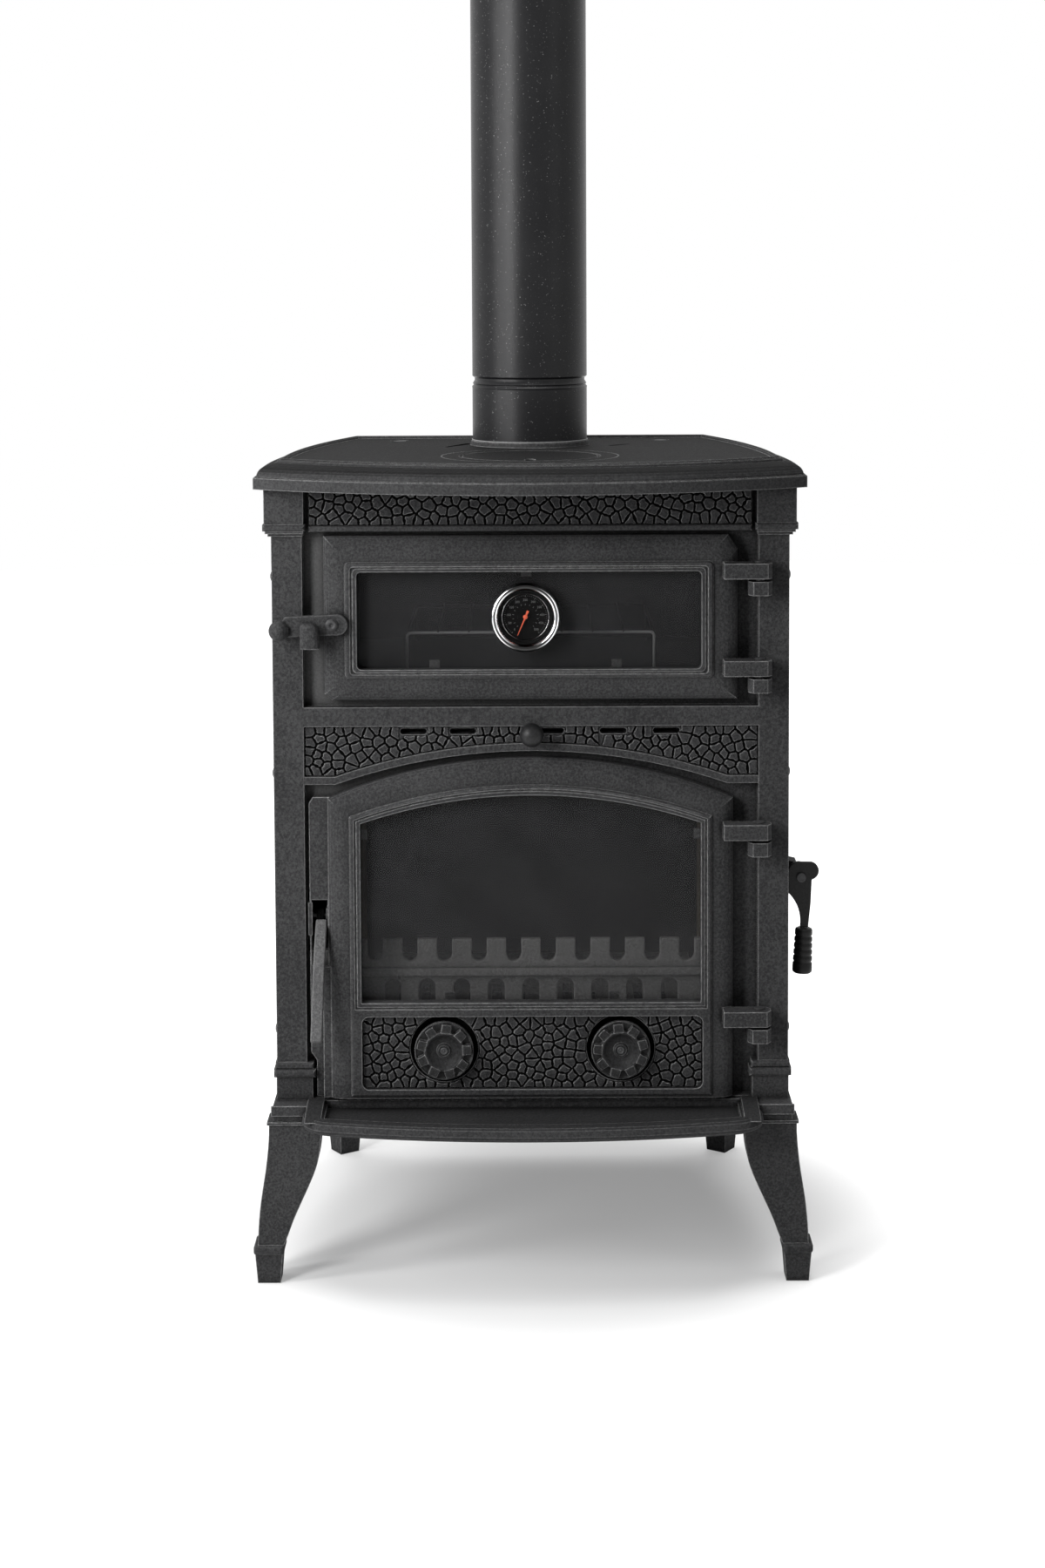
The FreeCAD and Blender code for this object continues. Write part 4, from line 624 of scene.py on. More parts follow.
finishes["rope_seal"] = woven_rope()
finishes["firebrick"] = pressed_brick()
print("finishes:", len(finishes))

# %% [markdown]
# Every solid already knows which finish it takes, from the record that came
# with it, so one loop dresses them all.  A few get a finish of their own: the
# top and the hearth, with painted shade where they lie flat, the front, with
# painted light in its latch-side recess, the clips of bare spring steel, and the
# guard and the back brick, which the fire has whitened and blackened.

# %% Dress the solids
OWN_FINISH = {"top_plate": top_iron, "hob_lid": top_iron, "hearth": hearth_iron, "front_frame": frame_iron,
              "oven_glass_clips": clip_steel, "fire_glass_clips": clip_steel,
              "log_guard": ash_iron, "firebrick_back": burnt_brick}
slot_of = {part["node"]: part["material_slot"] for part in frame["record"]["subparts"]}
for node, slot in slot_of.items():
    solid = frame["nodes"][node]
    for index in range(len(solid.material_slots)):
        solid.material_slots[index].material = OWN_FINISH.get(node, finishes[slot])
print(len(slot_of), "solids dressed")

# %% [markdown]
# Each new piece is a list of corners and faces, so that its shape can be read
# and measured here.  One helper makes the mesh, turns its faces outwards, and
# lets it ride on its body, so that a door takes its dial along.  Another rounds
# the edges with a Bevel modifier, as filing and years of wear do.

# %% Make a piece
def piece(name, corners, faces, body, slot, smooth=True, finish=None):
    """A new piece of the cooker, in its place, riding on a body."""
    mesh = bpy.data.meshes.new(name)
    mesh.from_pydata([tuple(c) for c in corners], [], faces)
    mesh.validate()
    shape = bmesh.new()
    shape.from_mesh(mesh)
    bmesh.ops.recalc_face_normals(shape, faces=shape.faces)
    shape.to_mesh(mesh)
    shape.free()
    for polygon in mesh.polygons:
        polygon.use_smooth = smooth
    thing = bpy.data.objects.new(name, mesh)
    bpy.context.scene.collection.objects.link(thing)
    mesh.materials.append(finish or finishes[slot])
    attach(thing, body)
    return thing


def soften(thing, width, steps=3, angle=35.0):
    """Rounded edges, with flat faces kept flat."""
    bevel = thing.modifiers.new("rounded edges", "BEVEL")
    bevel.width = width * MM
    bevel.segments = steps
    bevel.limit_method = "ANGLE"
    bevel.angle_limit = math.radians(angle)
    bevel.harden_normals = False
    mark = thing.modifiers.new("flat faces", "WEIGHTED_NORMAL")
    mark.keep_sharp = True


print("pieces can be made, and their edges rounded")

# %% [markdown]
# Knobs, rings and screws are turned on a lathe.  The same can be done here: a
# profile of radius and place along the axis is spun round.  A profile is easier
# to keep true to the photograph than a sculpted ball.

# %% Turn a profile
def spin(middle, axis, across, profile, steps=64):
    """Corners and faces of a turned shape; the profile is (radius, along) in mm."""
    axis = Vector(axis).normalized()
    across = Vector(across).normalized()
    other = axis.cross(across)
    corners = []
    faces = []
    rows = []
    for radius, along in profile:
        centre = middle + axis * (along * MM)
        if radius < 1e-6:
            rows.append([len(corners)])
            corners.append(centre)
            continue
        row = []
        for step in range(steps):
            turn = 2 * math.pi * step / steps
            row.append(len(corners))
            corners.append(centre + (across * math.cos(turn) + other * math.sin(turn)) * (radius * MM))
        rows.append(row)
    for low, high in zip(rows, rows[1:]):
        for step in range(steps):
            after = (step + 1) % steps
            ring = [low[step % len(low)], low[after % len(low)],
                    high[after % len(high)], high[step % len(high)]]
            face = list(dict.fromkeys(ring))
            if len(face) > 2:
                faces.append(face)
    return corners, faces


def join_shapes(*shapes):
    """Put several corner and face lists into one."""
    corners = []
    faces = []
    for more_corners, more_faces in shapes:
        start = len(corners)
        corners.extend(more_corners)
        faces.extend([[start + index for index in face] for face in more_faces])
    return corners, faces


print("profiles can be spun")

# %% [markdown]
# Levers, latches and guards are flat castings.  Each is drawn as an outline of
# straight runs and arcs and given its thickness, which keeps the curve of a
# handle in a handful of measured points.

# %% Draw an outline
def plate(front, back):
    """Faces between two equal rings of corners, closed at both ends."""
    count = len(front)
    faces = [list(range(count)), list(range(2 * count - 1, count - 1, -1))]
    for index in range(count):
        after = (index + 1) % count
        faces.append([index, count + index, count + after, after])
    return front + back, faces


def slab(outline, front, back):
    """A flat plate from its outline on the front, (x, z) in mm."""
    return plate([at(x, front, z) for x, z in outline], [at(x, back, z) for x, z in outline])


def side_slab(outline, x0, x1):
    """A plate from its outline seen from the side, (depth, z) in mm."""
    return plate([at(x0, d, z) for d, z in outline], [at(x1, d, z) for d, z in outline])


def arc(start, middle, end, steps):
    """Points on the circle through three points, without the last one."""
    (ax, ay), (bx, by), (cx, cy) = start, middle, end
    a, b, c = ax * ax + ay * ay, bx * bx + by * by, cx * cx + cy * cy
    d = 2 * (ax * (by - cy) + bx * (cy - ay) + cx * (ay - by))
    ux = (a * (by - cy) + b * (cy - ay) + c * (ay - by)) / d
    uy = (a * (cx - bx) + b * (ax - cx) + c * (bx - ax)) / d
    radius = math.hypot(ax - ux, ay - uy)
    first = math.atan2(ay - uy, ax - ux)
    half = math.atan2(by - uy, bx - ux)
    last = math.atan2(cy - uy, cx - ux)
    turn = (last - first) % (2 * math.pi)
    if (half - first) % (2 * math.pi) > turn:
        turn -= 2 * math.pi
    angles = [first + turn * i / steps for i in range(steps)]
    return [(ux + radius * math.cos(angle), uy + radius * math.sin(angle)) for angle in angles]


def outline_of(points, steps=8):
    """Straight runs and arcs; a point marked "arc" is the middle of an arc."""
    result = []
    index = 0
    count = len(points)
    while index < count:
        middle = points[(index + 1) % count]
        if len(middle) == 3:
            result.extend(arc(points[index], middle[:2], points[(index + 2) % count], steps))
            index += 2
        else:
            result.append(points[index])
            index += 1
    return result


def rounded_turn(before, here, after, radius, steps):
    """A soft turn in place of the corner "here" of a line."""
    here = Vector(here)
    a, b = Vector(before) - here, Vector(after) - here
    cut = min(radius, a.length * 0.45, b.length * 0.45)
    start, end = here + a.normalized() * cut, here + b.normalized() * cut
    places = []
    for step in range(steps + 1):
        t = step / steps
        places.append(tuple(start * (1 - t) ** 2 + here * 2 * t * (1 - t) + end * t * t))
    return places


BAR_FACES = [[0, 1, 2, 3], [7, 6, 5, 4], [0, 4, 5, 1], [1, 5, 6, 2], [2, 6, 7, 3], [3, 7, 4, 0]]
print("outlines can be drawn")

# %% [markdown]
# The frieze, the panel over the firebox arch and the panel around the air
# valves are cast with a pebbled pattern: flat-topped, crooked stones with
# narrow sunk joints.  A displaced plane would need millions of faces for crisp
# joints, so each stone is its own little solid.  Scattered points share out the
# panel among themselves, each taking the ground nearest to it, and every share,
# shrunk by half a joint, is one stone.

# %% Share a panel out among stones
def keep_side(polygon, nx, nz, limit):
    """Cut a convex polygon to the side where nx * x + nz * z is below the limit."""
    result = []
    count = len(polygon)
    for index in range(count):
        here = polygon[index]
        after = polygon[(index + 1) % count]
        a = nx * here[0] + nz * here[1] - limit
        b = nx * after[0] + nz * after[1] - limit
        if a <= 0:
            result.append(here)
        if a * b < 0:
            share = a / (a - b)
            result.append((here[0] + (after[0] - here[0]) * share, here[1] + (after[1] - here[1]) * share))
    return result


def scatter(chance, x0, x1, z0, z1, spacing, allowed):
    """Points no nearer to each other than the spacing."""
    points = []
    tries = int((x1 - x0) * (z1 - z0) / spacing ** 2 * 40)
    for _ in range(tries):
        x = chance.uniform(x0, x1)
        z = chance.uniform(z0, z1)
        if allowed(x, z) and all((x - a) ** 2 + (z - b) ** 2 > spacing ** 2 for a, b in points):
            points.append((x, z))
    return points


def stones(seed, x0, x1, z0, z1, allowed, trim, joint=1.5, spacing=7.8, least=8.0):
    """Outlines of the stones of one panel."""
    chance = random.Random(seed)
    middles = scatter(chance, x0 + 2, x1 - 2, z0 + 2, z1 - 2, spacing, allowed)
    outlines = []
    for x, z in middles:
        share = [(x0, z0), (x1, z0), (x1, z1), (x0, z1)]
        for a, b in middles:
            gap = math.hypot(a - x, b - z)
            if 0 < gap < 4 * spacing:
                nx, nz = (a - x) / gap, (b - z) / gap
                share = keep_side(share, nx, nz, nx * x + nz * z + gap / 2 - joint / 2)
        share = trim(x, z, share)
        area = sum(p[0] * q[1] - q[0] * p[1] for p, q in zip(share, share[1:] + share[:1])) / 2
        if len(share) > 2 and area > least:
            outlines.append(share)
    return outlines


print("a panel can be shared out")

# %% [markdown]
# A cast stone isn't a clean polygon.  Its corners are cut off and its sides
# pushed in a little, its sides slope, its top is flat but leans by a degree, and
# no two are quite as high.  All of it comes from seeded chance, so that every
# run lays the same stones.

# %% Shape the stones
RINGS = ((0.0, -0.25), (0.10, 0.50), (0.40, 0.86), (0.85, 1.0))      # inset in mm, share of the height


def crooked(chance, polygon, wobble):
    """Cut off the corners and move the points a little."""
    result = []
    count = len(polygon)
    for index in range(count):
        here, after = polygon[index], polygon[(index + 1) % count]
        length = math.hypot(after[0] - here[0], after[1] - here[1])
        if length < 1.2:
            result.append(((here[0] + after[0]) / 2, (here[1] + after[1]) / 2))
            continue
        cut = min(0.28, 0.9 / length)
        for share in (cut, 0.5, 1 - cut):
            push = chance.uniform(-wobble, wobble * 0.3) if share == 0.5 else 0.0
            nx, nz = (after[1] - here[1]) / length, -(after[0] - here[0]) / length
            result.append((here[0] + (after[0] - here[0]) * share + nx * push,
                           here[1] + (after[1] - here[1]) * share + nz * push))
    return result


def lay_stones(name, seed, outlines, ground, rise, body):
    """Build the stones on a panel whose face lies at the depth "ground"."""
    chance = random.Random(seed)
    corners, faces = [], []
    for polygon in outlines:
        ring = crooked(chance, polygon, 0.8)
        mx = sum(p[0] for p in ring) / len(ring)
        mz = sum(p[1] for p in ring) / len(ring)
        tall = rise * chance.uniform(0.82, 1.0)
        lean_x, lean_z = chance.uniform(-0.018, 0.018), chance.uniform(-0.018, 0.018)
        start = len(corners)
        size = len(ring)
        for inset, share in RINGS:
            for x, z in ring:
                reach = math.hypot(x - mx, z - mz)
                shrink = max(0.2, 1 - inset / max(reach, 0.5))
                px, pz = mx + (x - mx) * shrink, mz + (z - mz) * shrink
                lift = tall * share + (lean_x * (px - mx) + lean_z * (pz - mz)) * (share > 0.5)
                corners.append(at(px, ground - lift, pz))
        for level in range(3):
            for index in range(size):
                after = (index + 1) % size
                low = start + level * size
                faces.append([low + index, low + after, low + size + after, low + size + index])
        faces.append([start + 3 * size + index for index in range(size)])
    piece(name, corners, faces, body, "cast_iron", smooth=False, finish=stone_iron)
    print(name, "has", len(outlines), "stones")


def lay_panel(name, seeds, box, ground, rise, body, allowed, trim):
    """Stones of a panel, and a near-black sheet of painted shade that shows in their joints."""
    lay_stones(name + "_stones", seeds[0], stones(seeds[1], *box, allowed, trim), ground, rise, body)
    corners, faces = [], []
    for share in stones(seeds[1], *box, allowed, trim, joint=0.0, least=0.5):
        faces.append([len(corners) + index for index in range(len(share))])
        corners.extend(at(x, ground - 0.15, z) for x, z in share)
    piece(name + "_joints", corners, faces, body, "cast_iron", smooth=False, finish=painted_shade_sheet)


# %% [markdown]
# The frieze under the top plate is a plain band, so its stones need no trimming.

# %% Lay the frieze
FRIEZE = (-213.0, 213.0, 740.6, 776.3)


def everywhere(x, z):
    return True


def untrimmed(x, z, share):
    return share


lay_panel("frieze", (11, 3), FRIEZE, 4.0, 1.8, "stove", everywhere, untrimmed)

# %% [markdown]
# Around the two air valves the stones stop at a plain ring.  Stones that reach
# into it are cut straight, as the pattern maker cut them.

# %% Lay the air panel
AIR_PANEL = (-164.8, 164.8, 190.6, 261.4)
VALVES = ((-85.8, 229.3), (85.8, 229.3))


def outside_valves(x, z):
    return all(math.hypot(x - a, z - b) > 35.5 for a, b in VALVES)


def trim_valves(x, z, share):
    for a, b in VALVES:
        reach = math.hypot(x - a, z - b)
        if reach < 60:
            nx, nz = (a - x) / reach, (b - z) / reach
            share = keep_side(share, nx, nz, nx * a + nz * b - 34.0)
    return share


lay_panel("air_panel", (12, 5), AIR_PANEL, -5.0, 1.9, "fire_door", outside_valves, trim_valves)

# %% [markdown]
# Over the firebox the stones follow the arched bead and leave the air slots open.
# Here too whole stones are cut to the line rather than left out, since a gap
# would show as a smooth patch.

# %% Lay the spandrel
SPANDREL = (-219.2, 219.2, 497.0, 544.4)
SLOTS = ((-127.0, -101.0), (-79.0, -53.0), (66.5, 92.5), (118.0, 144.0), (-3.0, 32.0))
ARCH_HALF, ARCH_SPRING, ARCH_TOP = 190.0, 496.0, 528.3     # upper edge of the arched bead
ARCH_RADIUS = (ARCH_HALF ** 2 + (ARCH_TOP - ARCH_SPRING) ** 2) / (2 * (ARCH_TOP - ARCH_SPRING))


def above_arch(x, z):
    high = ARCH_SPRING if abs(x) > ARCH_HALF else (
        ARCH_TOP - ARCH_RADIUS + math.sqrt(ARCH_RADIUS ** 2 - x * x))
    in_slot = any(a - 1.5 < x < b + 1.5 and z > 535.0 for a, b in SLOTS)
    return z > high + 2.0 and not in_slot


def trim_arch(x, z, share):
    if abs(x) > ARCH_HALF:
        share = keep_side(share, 0, -1, -(ARCH_SPRING + 0.8))
    centre = ARCH_TOP - ARCH_RADIUS
    reach = math.hypot(x, z - centre)
    nx, nz = -x / reach, (centre - z) / reach
    share = keep_side(share, nx, nz, nz * centre - (ARCH_RADIUS + 0.8))
    for a, b in SLOTS:
        if a - 12 < x < b + 12 and z > 524:
            if x < a - 1.5:
                share = keep_side(share, 1, 0, a - 1.2) if z > 533 else share
            elif x > b + 1.5:
                share = keep_side(share, -1, 0, -(b + 1.2)) if z > 533 else share
            else:
                share = keep_side(share, 0, 1, 535.6)
    return share


lay_panel("spandrel", (13, 9), SPANDREL, 4.0, 1.9, "stove", above_arch, trim_arch)

# %% [markdown]
# The thermometer hangs in a hole in the oven glass.  Its bezel is spun chrome,
# a round-backed ring whose painted reflection draws two bright crescents.
# Inside it a black step falls to a thin bright ring and the black dial.

# %% Thermometer
DIAL_X, DIAL_Z = -5.0, 652.4
dial_middle = at(DIAL_X, 0.0, DIAL_Z)
FORWARD = (0.0, -1.0, 0.0)
SIDEWAYS = (1.0, 0.0, 0.0)


def front_turned(name, x, z, profile, body, slot, steps=96, finish=None):
    """A piece turned about a line that points to the front; along counts forwards."""
    corners, faces = spin(at(x, 0.0, z), FORWARD, SIDEWAYS, profile, steps)
    return piece(name, corners, faces, body, slot, finish=finish)


def round_ring(inner, outer, low, high, steps=14):
    """Profile of a half-round ring."""
    middle, half = (inner + outer) / 2, (outer - inner) / 2
    points = [(inner, low)]
    for step in range(steps + 1):
        turn = math.pi * (1 - step / steps)
        points.append((middle + half * math.cos(turn), low + 0.8 + (high - low - 0.8) * math.sin(turn)))
    return points + [(outer, low), (inner, low)]


bezel = front_turned("thermometer_ring", DIAL_X, DIAL_Z, round_ring(26.4, 33.6, 9.05, 15.0),
                     "oven_door", "thermometer_case")
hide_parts("thermometer_bezel")
STEP = [(26.9, 9.0), (26.2, 10.8), (24.6, 9.4), (23.4, 8.2), (23.0, 5.6), (26.9, 5.6), (26.9, 9.0)]
front_turned("thermometer_step", DIAL_X, DIAL_Z, STEP, "oven_door", "dial")
front_turned("thermometer_inner_ring", DIAL_X, DIAL_Z, round_ring(22.0, 23.3, 5.55, 8.4, 8),
             "oven_door", "thermometer_case")
print("bezel, step and inner ring turned")

# %% [markdown]
# The marks are printed on the real dial.  Here they are thin raised strokes, for
# a stroke stays sharp at any distance.  Fifty-one of them run over 280 degrees,
# every fifth longer, with a number from 0 to 500 at each tenth part.

# %% Dial marks and numbers
FIRST_MARK, SWEEP = 40, 280      # degrees clockwise from straight down


def dial_point(radius, degrees, forward):
    """Degrees run clockwise from straight down, as a reader sees the dial."""
    turn = math.radians(degrees)
    return at(DIAL_X - radius * math.sin(turn), -forward, DIAL_Z - radius * math.cos(turn))


def tick(radius0, radius1, degrees, wide, forward=5.75):
    turn = math.radians(degrees)
    side = Vector((math.cos(turn), 0.0, -math.sin(turn))) * (wide / 2 * MM)
    ends = [dial_point(radius0, degrees, forward), dial_point(radius1, degrees, forward)]
    corners = [ends[0] - side, ends[0] + side, ends[1] + side, ends[1] - side]
    corners += [c + Vector((0.0, 0.35 * MM, 0.0)) for c in corners]
    return corners, BAR_FACES


marks = []
for step in range(51):
    start, wide = (19.2, 0.45) if step % 5 == 0 else (19.9, 0.25)
    marks.append(tick(start, 20.7, FIRST_MARK + step * SWEEP / 50, wide))
for step in range(15):
    marks.append(tick(11.2, 12.6, FIRST_MARK + step * SWEEP / 14, 0.4))
corners, faces = join_shapes(*marks)
piece("dial_ticks", corners, faces, "oven_door", "dial", smooth=False, finish=dial_marks)


def number_mesh(words, size, middle):
    """A printed number, as a thin mesh that faces the front."""
    curve = bpy.data.curves.new("number", "FONT")
    curve.body = words
    curve.size = size * MM
    curve.align_x = "CENTER"
    curve.align_y = "CENTER"
    curve.extrude = 0.00012
    curve.resolution_u = 2
    temporary = bpy.data.objects.new("number", curve)
    bpy.context.scene.collection.objects.link(temporary)
    bpy.context.view_layer.update()
    mesh = bpy.data.meshes.new_from_object(temporary)
    turn = Matrix.Translation(middle) @ Matrix.Rotation(math.radians(90), 4, "X")
    corners = [turn @ v.co for v in mesh.vertices]
    faces = [list(p.vertices) for p in mesh.polygons]
    bpy.data.objects.remove(temporary)
    bpy.data.curves.remove(curve)
    return corners, faces


numbers = []
for step in range(11):
    degrees = FIRST_MARK + step * SWEEP // 10
    numbers.append(number_mesh(str(step * 50), 3.1, dial_point(16.2, degrees, 5.7)))
corners, faces = join_shapes(*numbers)
piece("dial_numbers", corners, faces, "oven_door", "dial", smooth=False, finish=dial_marks)
print("dial marked with", len(numbers), "numbers")

# %% [markdown]
# The orange pointer is stamped from sheet, long towards the marks and short
# behind its hub.  It rides on the needle's own body, so that it can turn.

# %% Pointer
AT_REST = 23.0      # degrees clockwise from straight down
BLADE = [(-6.5, -1.1), (-5.6, -1.1), (0.0, -0.7), (19.5, -0.2),
         (19.5, 0.2), (0.0, 0.7), (-5.6, 1.1), (-6.5, 1.1)]
HUB = [(0.0, 9.0), (1.4, 8.9), (2.1, 8.4), (2.2, 7.4), (1.0, 7.3), (1.0, 5.6), (0.0, 5.6)]


def pointer_at(along, across, forward):
    turn = math.radians(AT_REST)
    x = DIAL_X - along * math.sin(turn) + across * math.cos(turn)
    z = DIAL_Z - along * math.cos(turn) - across * math.sin(turn)
    return at(x, -forward, z)


blade = plate([pointer_at(a, b, 8.1) for a, b in BLADE], [pointer_at(a, b, 7.6) for a, b in BLADE])
hub = spin(dial_middle, FORWARD, SIDEWAYS, HUB, 32)
corners, faces = join_shapes(blade, hub)
pointer = piece("pointer", corners, faces, "thermometer_needle", "needle", smooth=False)
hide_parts("thermometer_needle")
print("pointer stands", AT_REST, "degrees from straight down")

# %% [markdown]
# The two air valves are screwed in and out by hand.  Each is a shallow casting:
# a thin raised hoop, nine square lugs for the fingers and a dished middle with
# the end of its stud in it.  The hoop and dish are turned, and the lugs are
# small blocks with their edges rounded by a Bevel modifier.

# %% Air valves
HOOP = [(6.6, 9.5), (28.4, 9.5), (28.7, 9.9), (28.7, 13.6), (28.4, 14.0), (27.4, 14.0), (27.0, 13.6),
        (26.8, 12.6), (19.5, 12.4), (19.5, 16.8), (18.9, 17.4), (17.6, 17.5), (16.6, 17.1), (15.6, 15.6),
        (13.6, 13.9), (10.5, 12.6), (7.4, 12.2), (6.9, 12.4), (6.5, 13.8), (6.0, 14.5), (5.2, 14.6),
        (4.3, 14.3), (4.1, 9.5), (6.6, 9.5)]
STUD = [(0.0, 15.2), (0.9, 15.2), (1.1, 14.8), (1.9, 14.8), (2.1, 15.3), (3.2, 15.3), (3.6, 15.0),
        (3.95, 14.4), (3.95, -17.5), (3.4, -18.0), (0.0, -18.0)]
SHADE_RING = [(22.0, 3.1), (32.9, 3.1), (32.9, 4.9), (32.6, 4.9), (32.4, 3.4), (22.0, 3.4), (22.0, 3.1)]
LUG = [(18.2, -4.9), (26.3, -4.4), (26.9, 0.0), (26.3, 4.4), (18.2, 4.9)]
LUGS = 9


def lug_shape(x, z, degrees):
    turn = math.radians(degrees)
    rings = []
    for forward in (17.5, 11.5):
        rings.append([at(x + out * math.cos(turn) - side * math.sin(turn), -forward,
                         z + out * math.sin(turn) + side * math.cos(turn)) for out, side in LUG])
    return plate(*rings)


for side, x, z, start in (("left", *VALVES[0], 4.0), ("right", *VALVES[1], 16.0)):
    turned = spin(at(x, 0.0, z), FORWARD, SIDEWAYS, HOOP, 72)
    lugs = [lug_shape(x, z, start + 360 / LUGS * k) for k in range(LUGS)]
    corners, faces = join_shapes(turned, *lugs)
    valve = piece("air_valve_" + side, corners, faces, "air_knob_" + side, "cast_iron", finish=valve_iron)
    soften(valve, 0.7, 2, 40.0)
    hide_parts("air_knob_" + side)
    stud = front_turned("air_screw_" + side, x, z, STUD, "air_stud_" + side, "fasteners", steps=40)
    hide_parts("air_stud_" + side)
    # A near-black ring of painted shade in the gap between each valve and its seat.
    front_turned("air_valve_shade_ring_" + side, x, z, SHADE_RING, "fire_door", "cast_iron", 72, painted_shade_sheet)
print("air valves made")

# %% [markdown]
# The ball on the airwash slider, the ball on the oven latch and the grip of the
# side lever are turned parts.  A plain sphere looks machined and new, so each
# profile gets what a cast or forged knob has: a slightly flattened front, a
# collar and a short neck.

# %% Airwash knob
def ball_profile(radius, centre, neck, neck_end, flat=0.93, steps=18):
    """Ball with a little flattened front, running into a neck behind it."""
    points = [(0.0, centre + radius * flat)]
    lowest = math.asin(min(1.0, neck * 1.25 / radius))
    for step in range(1, steps + 1):
        turn = math.pi * step / steps
        if turn > math.pi - lowest:
            break
        along = math.cos(turn) * radius
        points.append((math.sin(turn) * radius, centre + along * (flat if along > 0 else 1.0)))
    back = centre - radius * math.cos(lowest)
    points += [(neck * 1.25, back), (neck, back - 0.8), (neck, neck_end), (0.0, neck_end)]
    return points


airwash = front_turned("airwash_ball", 0.6, 538.9, ball_profile(11.6, 15.6, 4.6, -10.0),
                       "airwash", "knob_steel", 64)
front_turned("airwash_stem", 0.6, 539.7, [(0.0, 5.0), (2.2, 5.0), (2.2, -27.2), (0.0, -27.2)],
             "airwash", "knob_steel", 32)
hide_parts("airwash_knob")
print("airwash knob turned")

# %% [markdown]
# The oven latch is a flat bar on a screw in the door, with a ball at its end to
# lift it by.  The bar is drawn as an outline, and the ball and screw are turned.

# %% Oven latch
LATCH_X, LATCH_Z = -190.8, 646.7      # its screw
SCREW = [(0.0, 18.4), (1.6, 18.4), (1.9, 19.7), (4.4, 20.0), (4.9, 19.6), (5.1, 18.2), (5.8, 18.2),
         (6.0, 18.0), (6.0, 17.25), (3.0, 17.25), (3.0, -6.0), (0.0, -6.0)]
bar_line = outline_of([(-185.4, LATCH_Z + 10.2), (-175.2, LATCH_Z, "arc"), (-185.4, LATCH_Z - 10.2),
                       (-203.0, LATCH_Z - 10.4), (-234.0, LATCH_Z - 11.9), (-239.0, 641.5, "arc"),
                       (-235.0, LATCH_Z + 7.9)], 14)
bar = piece("latch_bar", *slab(bar_line, -17.0, -11.3), "oven_latch", "cast_iron")
soften(bar, 1.1, 3)
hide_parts("oven_latch")
ball_corners, ball_faces = spin(at(-241.6, -17.0, 641.2), (-1.0, 0.0, 0.0), (0.0, 0.0, 1.0),
                                ball_profile(9.8, 0.0, 4.2, -9.9, 0.97), 48)
piece("latch_ball", ball_corners, ball_faces, "oven_latch", "cast_iron")
screw = front_turned("latch_screw_head", LATCH_X, LATCH_Z, SCREW, "oven_door", "fasteners", 48)
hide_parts("oven_latch_screw")
print("latch bar of", round(bar.dimensions.x * 1000), "mm")

# %% [markdown]
# The latch drops behind a forged peg on the pillar.  The peg is a rounded bar
# that leans and narrows upwards, so it is built from a stack of soft-cornered
# rings, on a short bracket that carries it in front of the bar.

# %% Peg that keeps the latch in
# rows of the peg from below: height, lean to the right, share of its full width
PEG_ROWS = ((624.5, 0.0, 0.5), (625.2, 0.6, 1.0), (634.0, 0.1, 1.0), (645.0, -1.0, 1.0),
            (647.6, -1.8, 0.93), (649.0, -2.6, 0.72), (649.5, -3.0, 0.3))
AROUND = 40
peg_corners, peg_faces = [], []
for z, lean, share in PEG_ROWS:
    left, right = -220.4, -201.9 + lean * 1.4
    middle, half = (left + right) / 2, (right - left) / 2
    for step in range(AROUND):
        turn = 2 * math.pi * step / AROUND
        cosine, sine = math.cos(turn), math.sin(turn)
        wide = half * share * math.copysign(abs(cosine) ** 0.7, cosine)
        thick = 6.4 * share * math.copysign(abs(sine) ** 0.8, sine)
        peg_corners.append(at(middle + wide, -26.2 + thick, z))
for low in range(0, AROUND * (len(PEG_ROWS) - 1), AROUND):
    for step in range(AROUND):
        after = (step + 1) % AROUND
        peg_faces.append([low + step, low + after, low + AROUND + after, low + AROUND + step])
peg_faces.append(list(range(AROUND)))
peg_faces.append([len(peg_corners) - 1 - step for step in range(AROUND)])
bracket = slab([(-219.0, 625.2), (-219.0, 634.0), (-206.0, 634.0), (-206.0, 625.2)], -24.0, 11.9)
peg = piece("keeper_peg", *join_shapes((peg_corners, peg_faces), bracket), "stove", "cast_iron")
soften(peg, 0.5, 2, 50.0)
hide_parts("latch_keeper")
print("peg stands", round(peg.dimensions.z * 1000), "mm high")

# %% [markdown]
# The fire door's lever is a flat bar, bent like a coat hook so that fingers fit
# behind it.  Its outline is drawn from the side and given the bar's width, and
# its long edges are rounded.

# %% Fire door lever
HANDLE = [(9.5, 351.5), (9.0, 344.0), (-8.0, 322.0, "arc"), (-19.0, 290.0), (-27.0, 262.0, "arc"),
          (-33.0, 247.0), (-37.5, 245.0, "arc"), (-40.5, 249.0), (-34.0, 270.0, "arc"), (-28.0, 292.0),
          (-17.0, 326.0, "arc"), (1.0, 350.0), (4.0, 355.5)]
EYE = [(17.5, 362.0), (17.5, 352.0), (10.0, 344.0), (5.0, 349.0), (8.0, 358.0), (13.0, 363.5, "arc")]
handle_corners, handle_faces = side_slab(outline_of(HANDLE, 10), -210.6, -199.4)
for corner in handle_corners:
    corner.x -= (355.0 * MM - corner.z) * 0.026
lever = piece("fire_door_lever", handle_corners, handle_faces, "fire_lever", "cast_iron", finish=lever_iron)
soften(lever, 1.6, 3)
# The eye is near-black: painted shade in the opening above the lever.
eye = piece("fire_lever_eye", *side_slab(outline_of(EYE, 6), -210.2, -202.8),
            "fire_lever", "cast_iron", finish=painted_shade_sheet)
soften(eye, 0.6, 2)
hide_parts("fire_lever")
print("lever hangs", round(lever.dimensions.z * 1000), "mm")

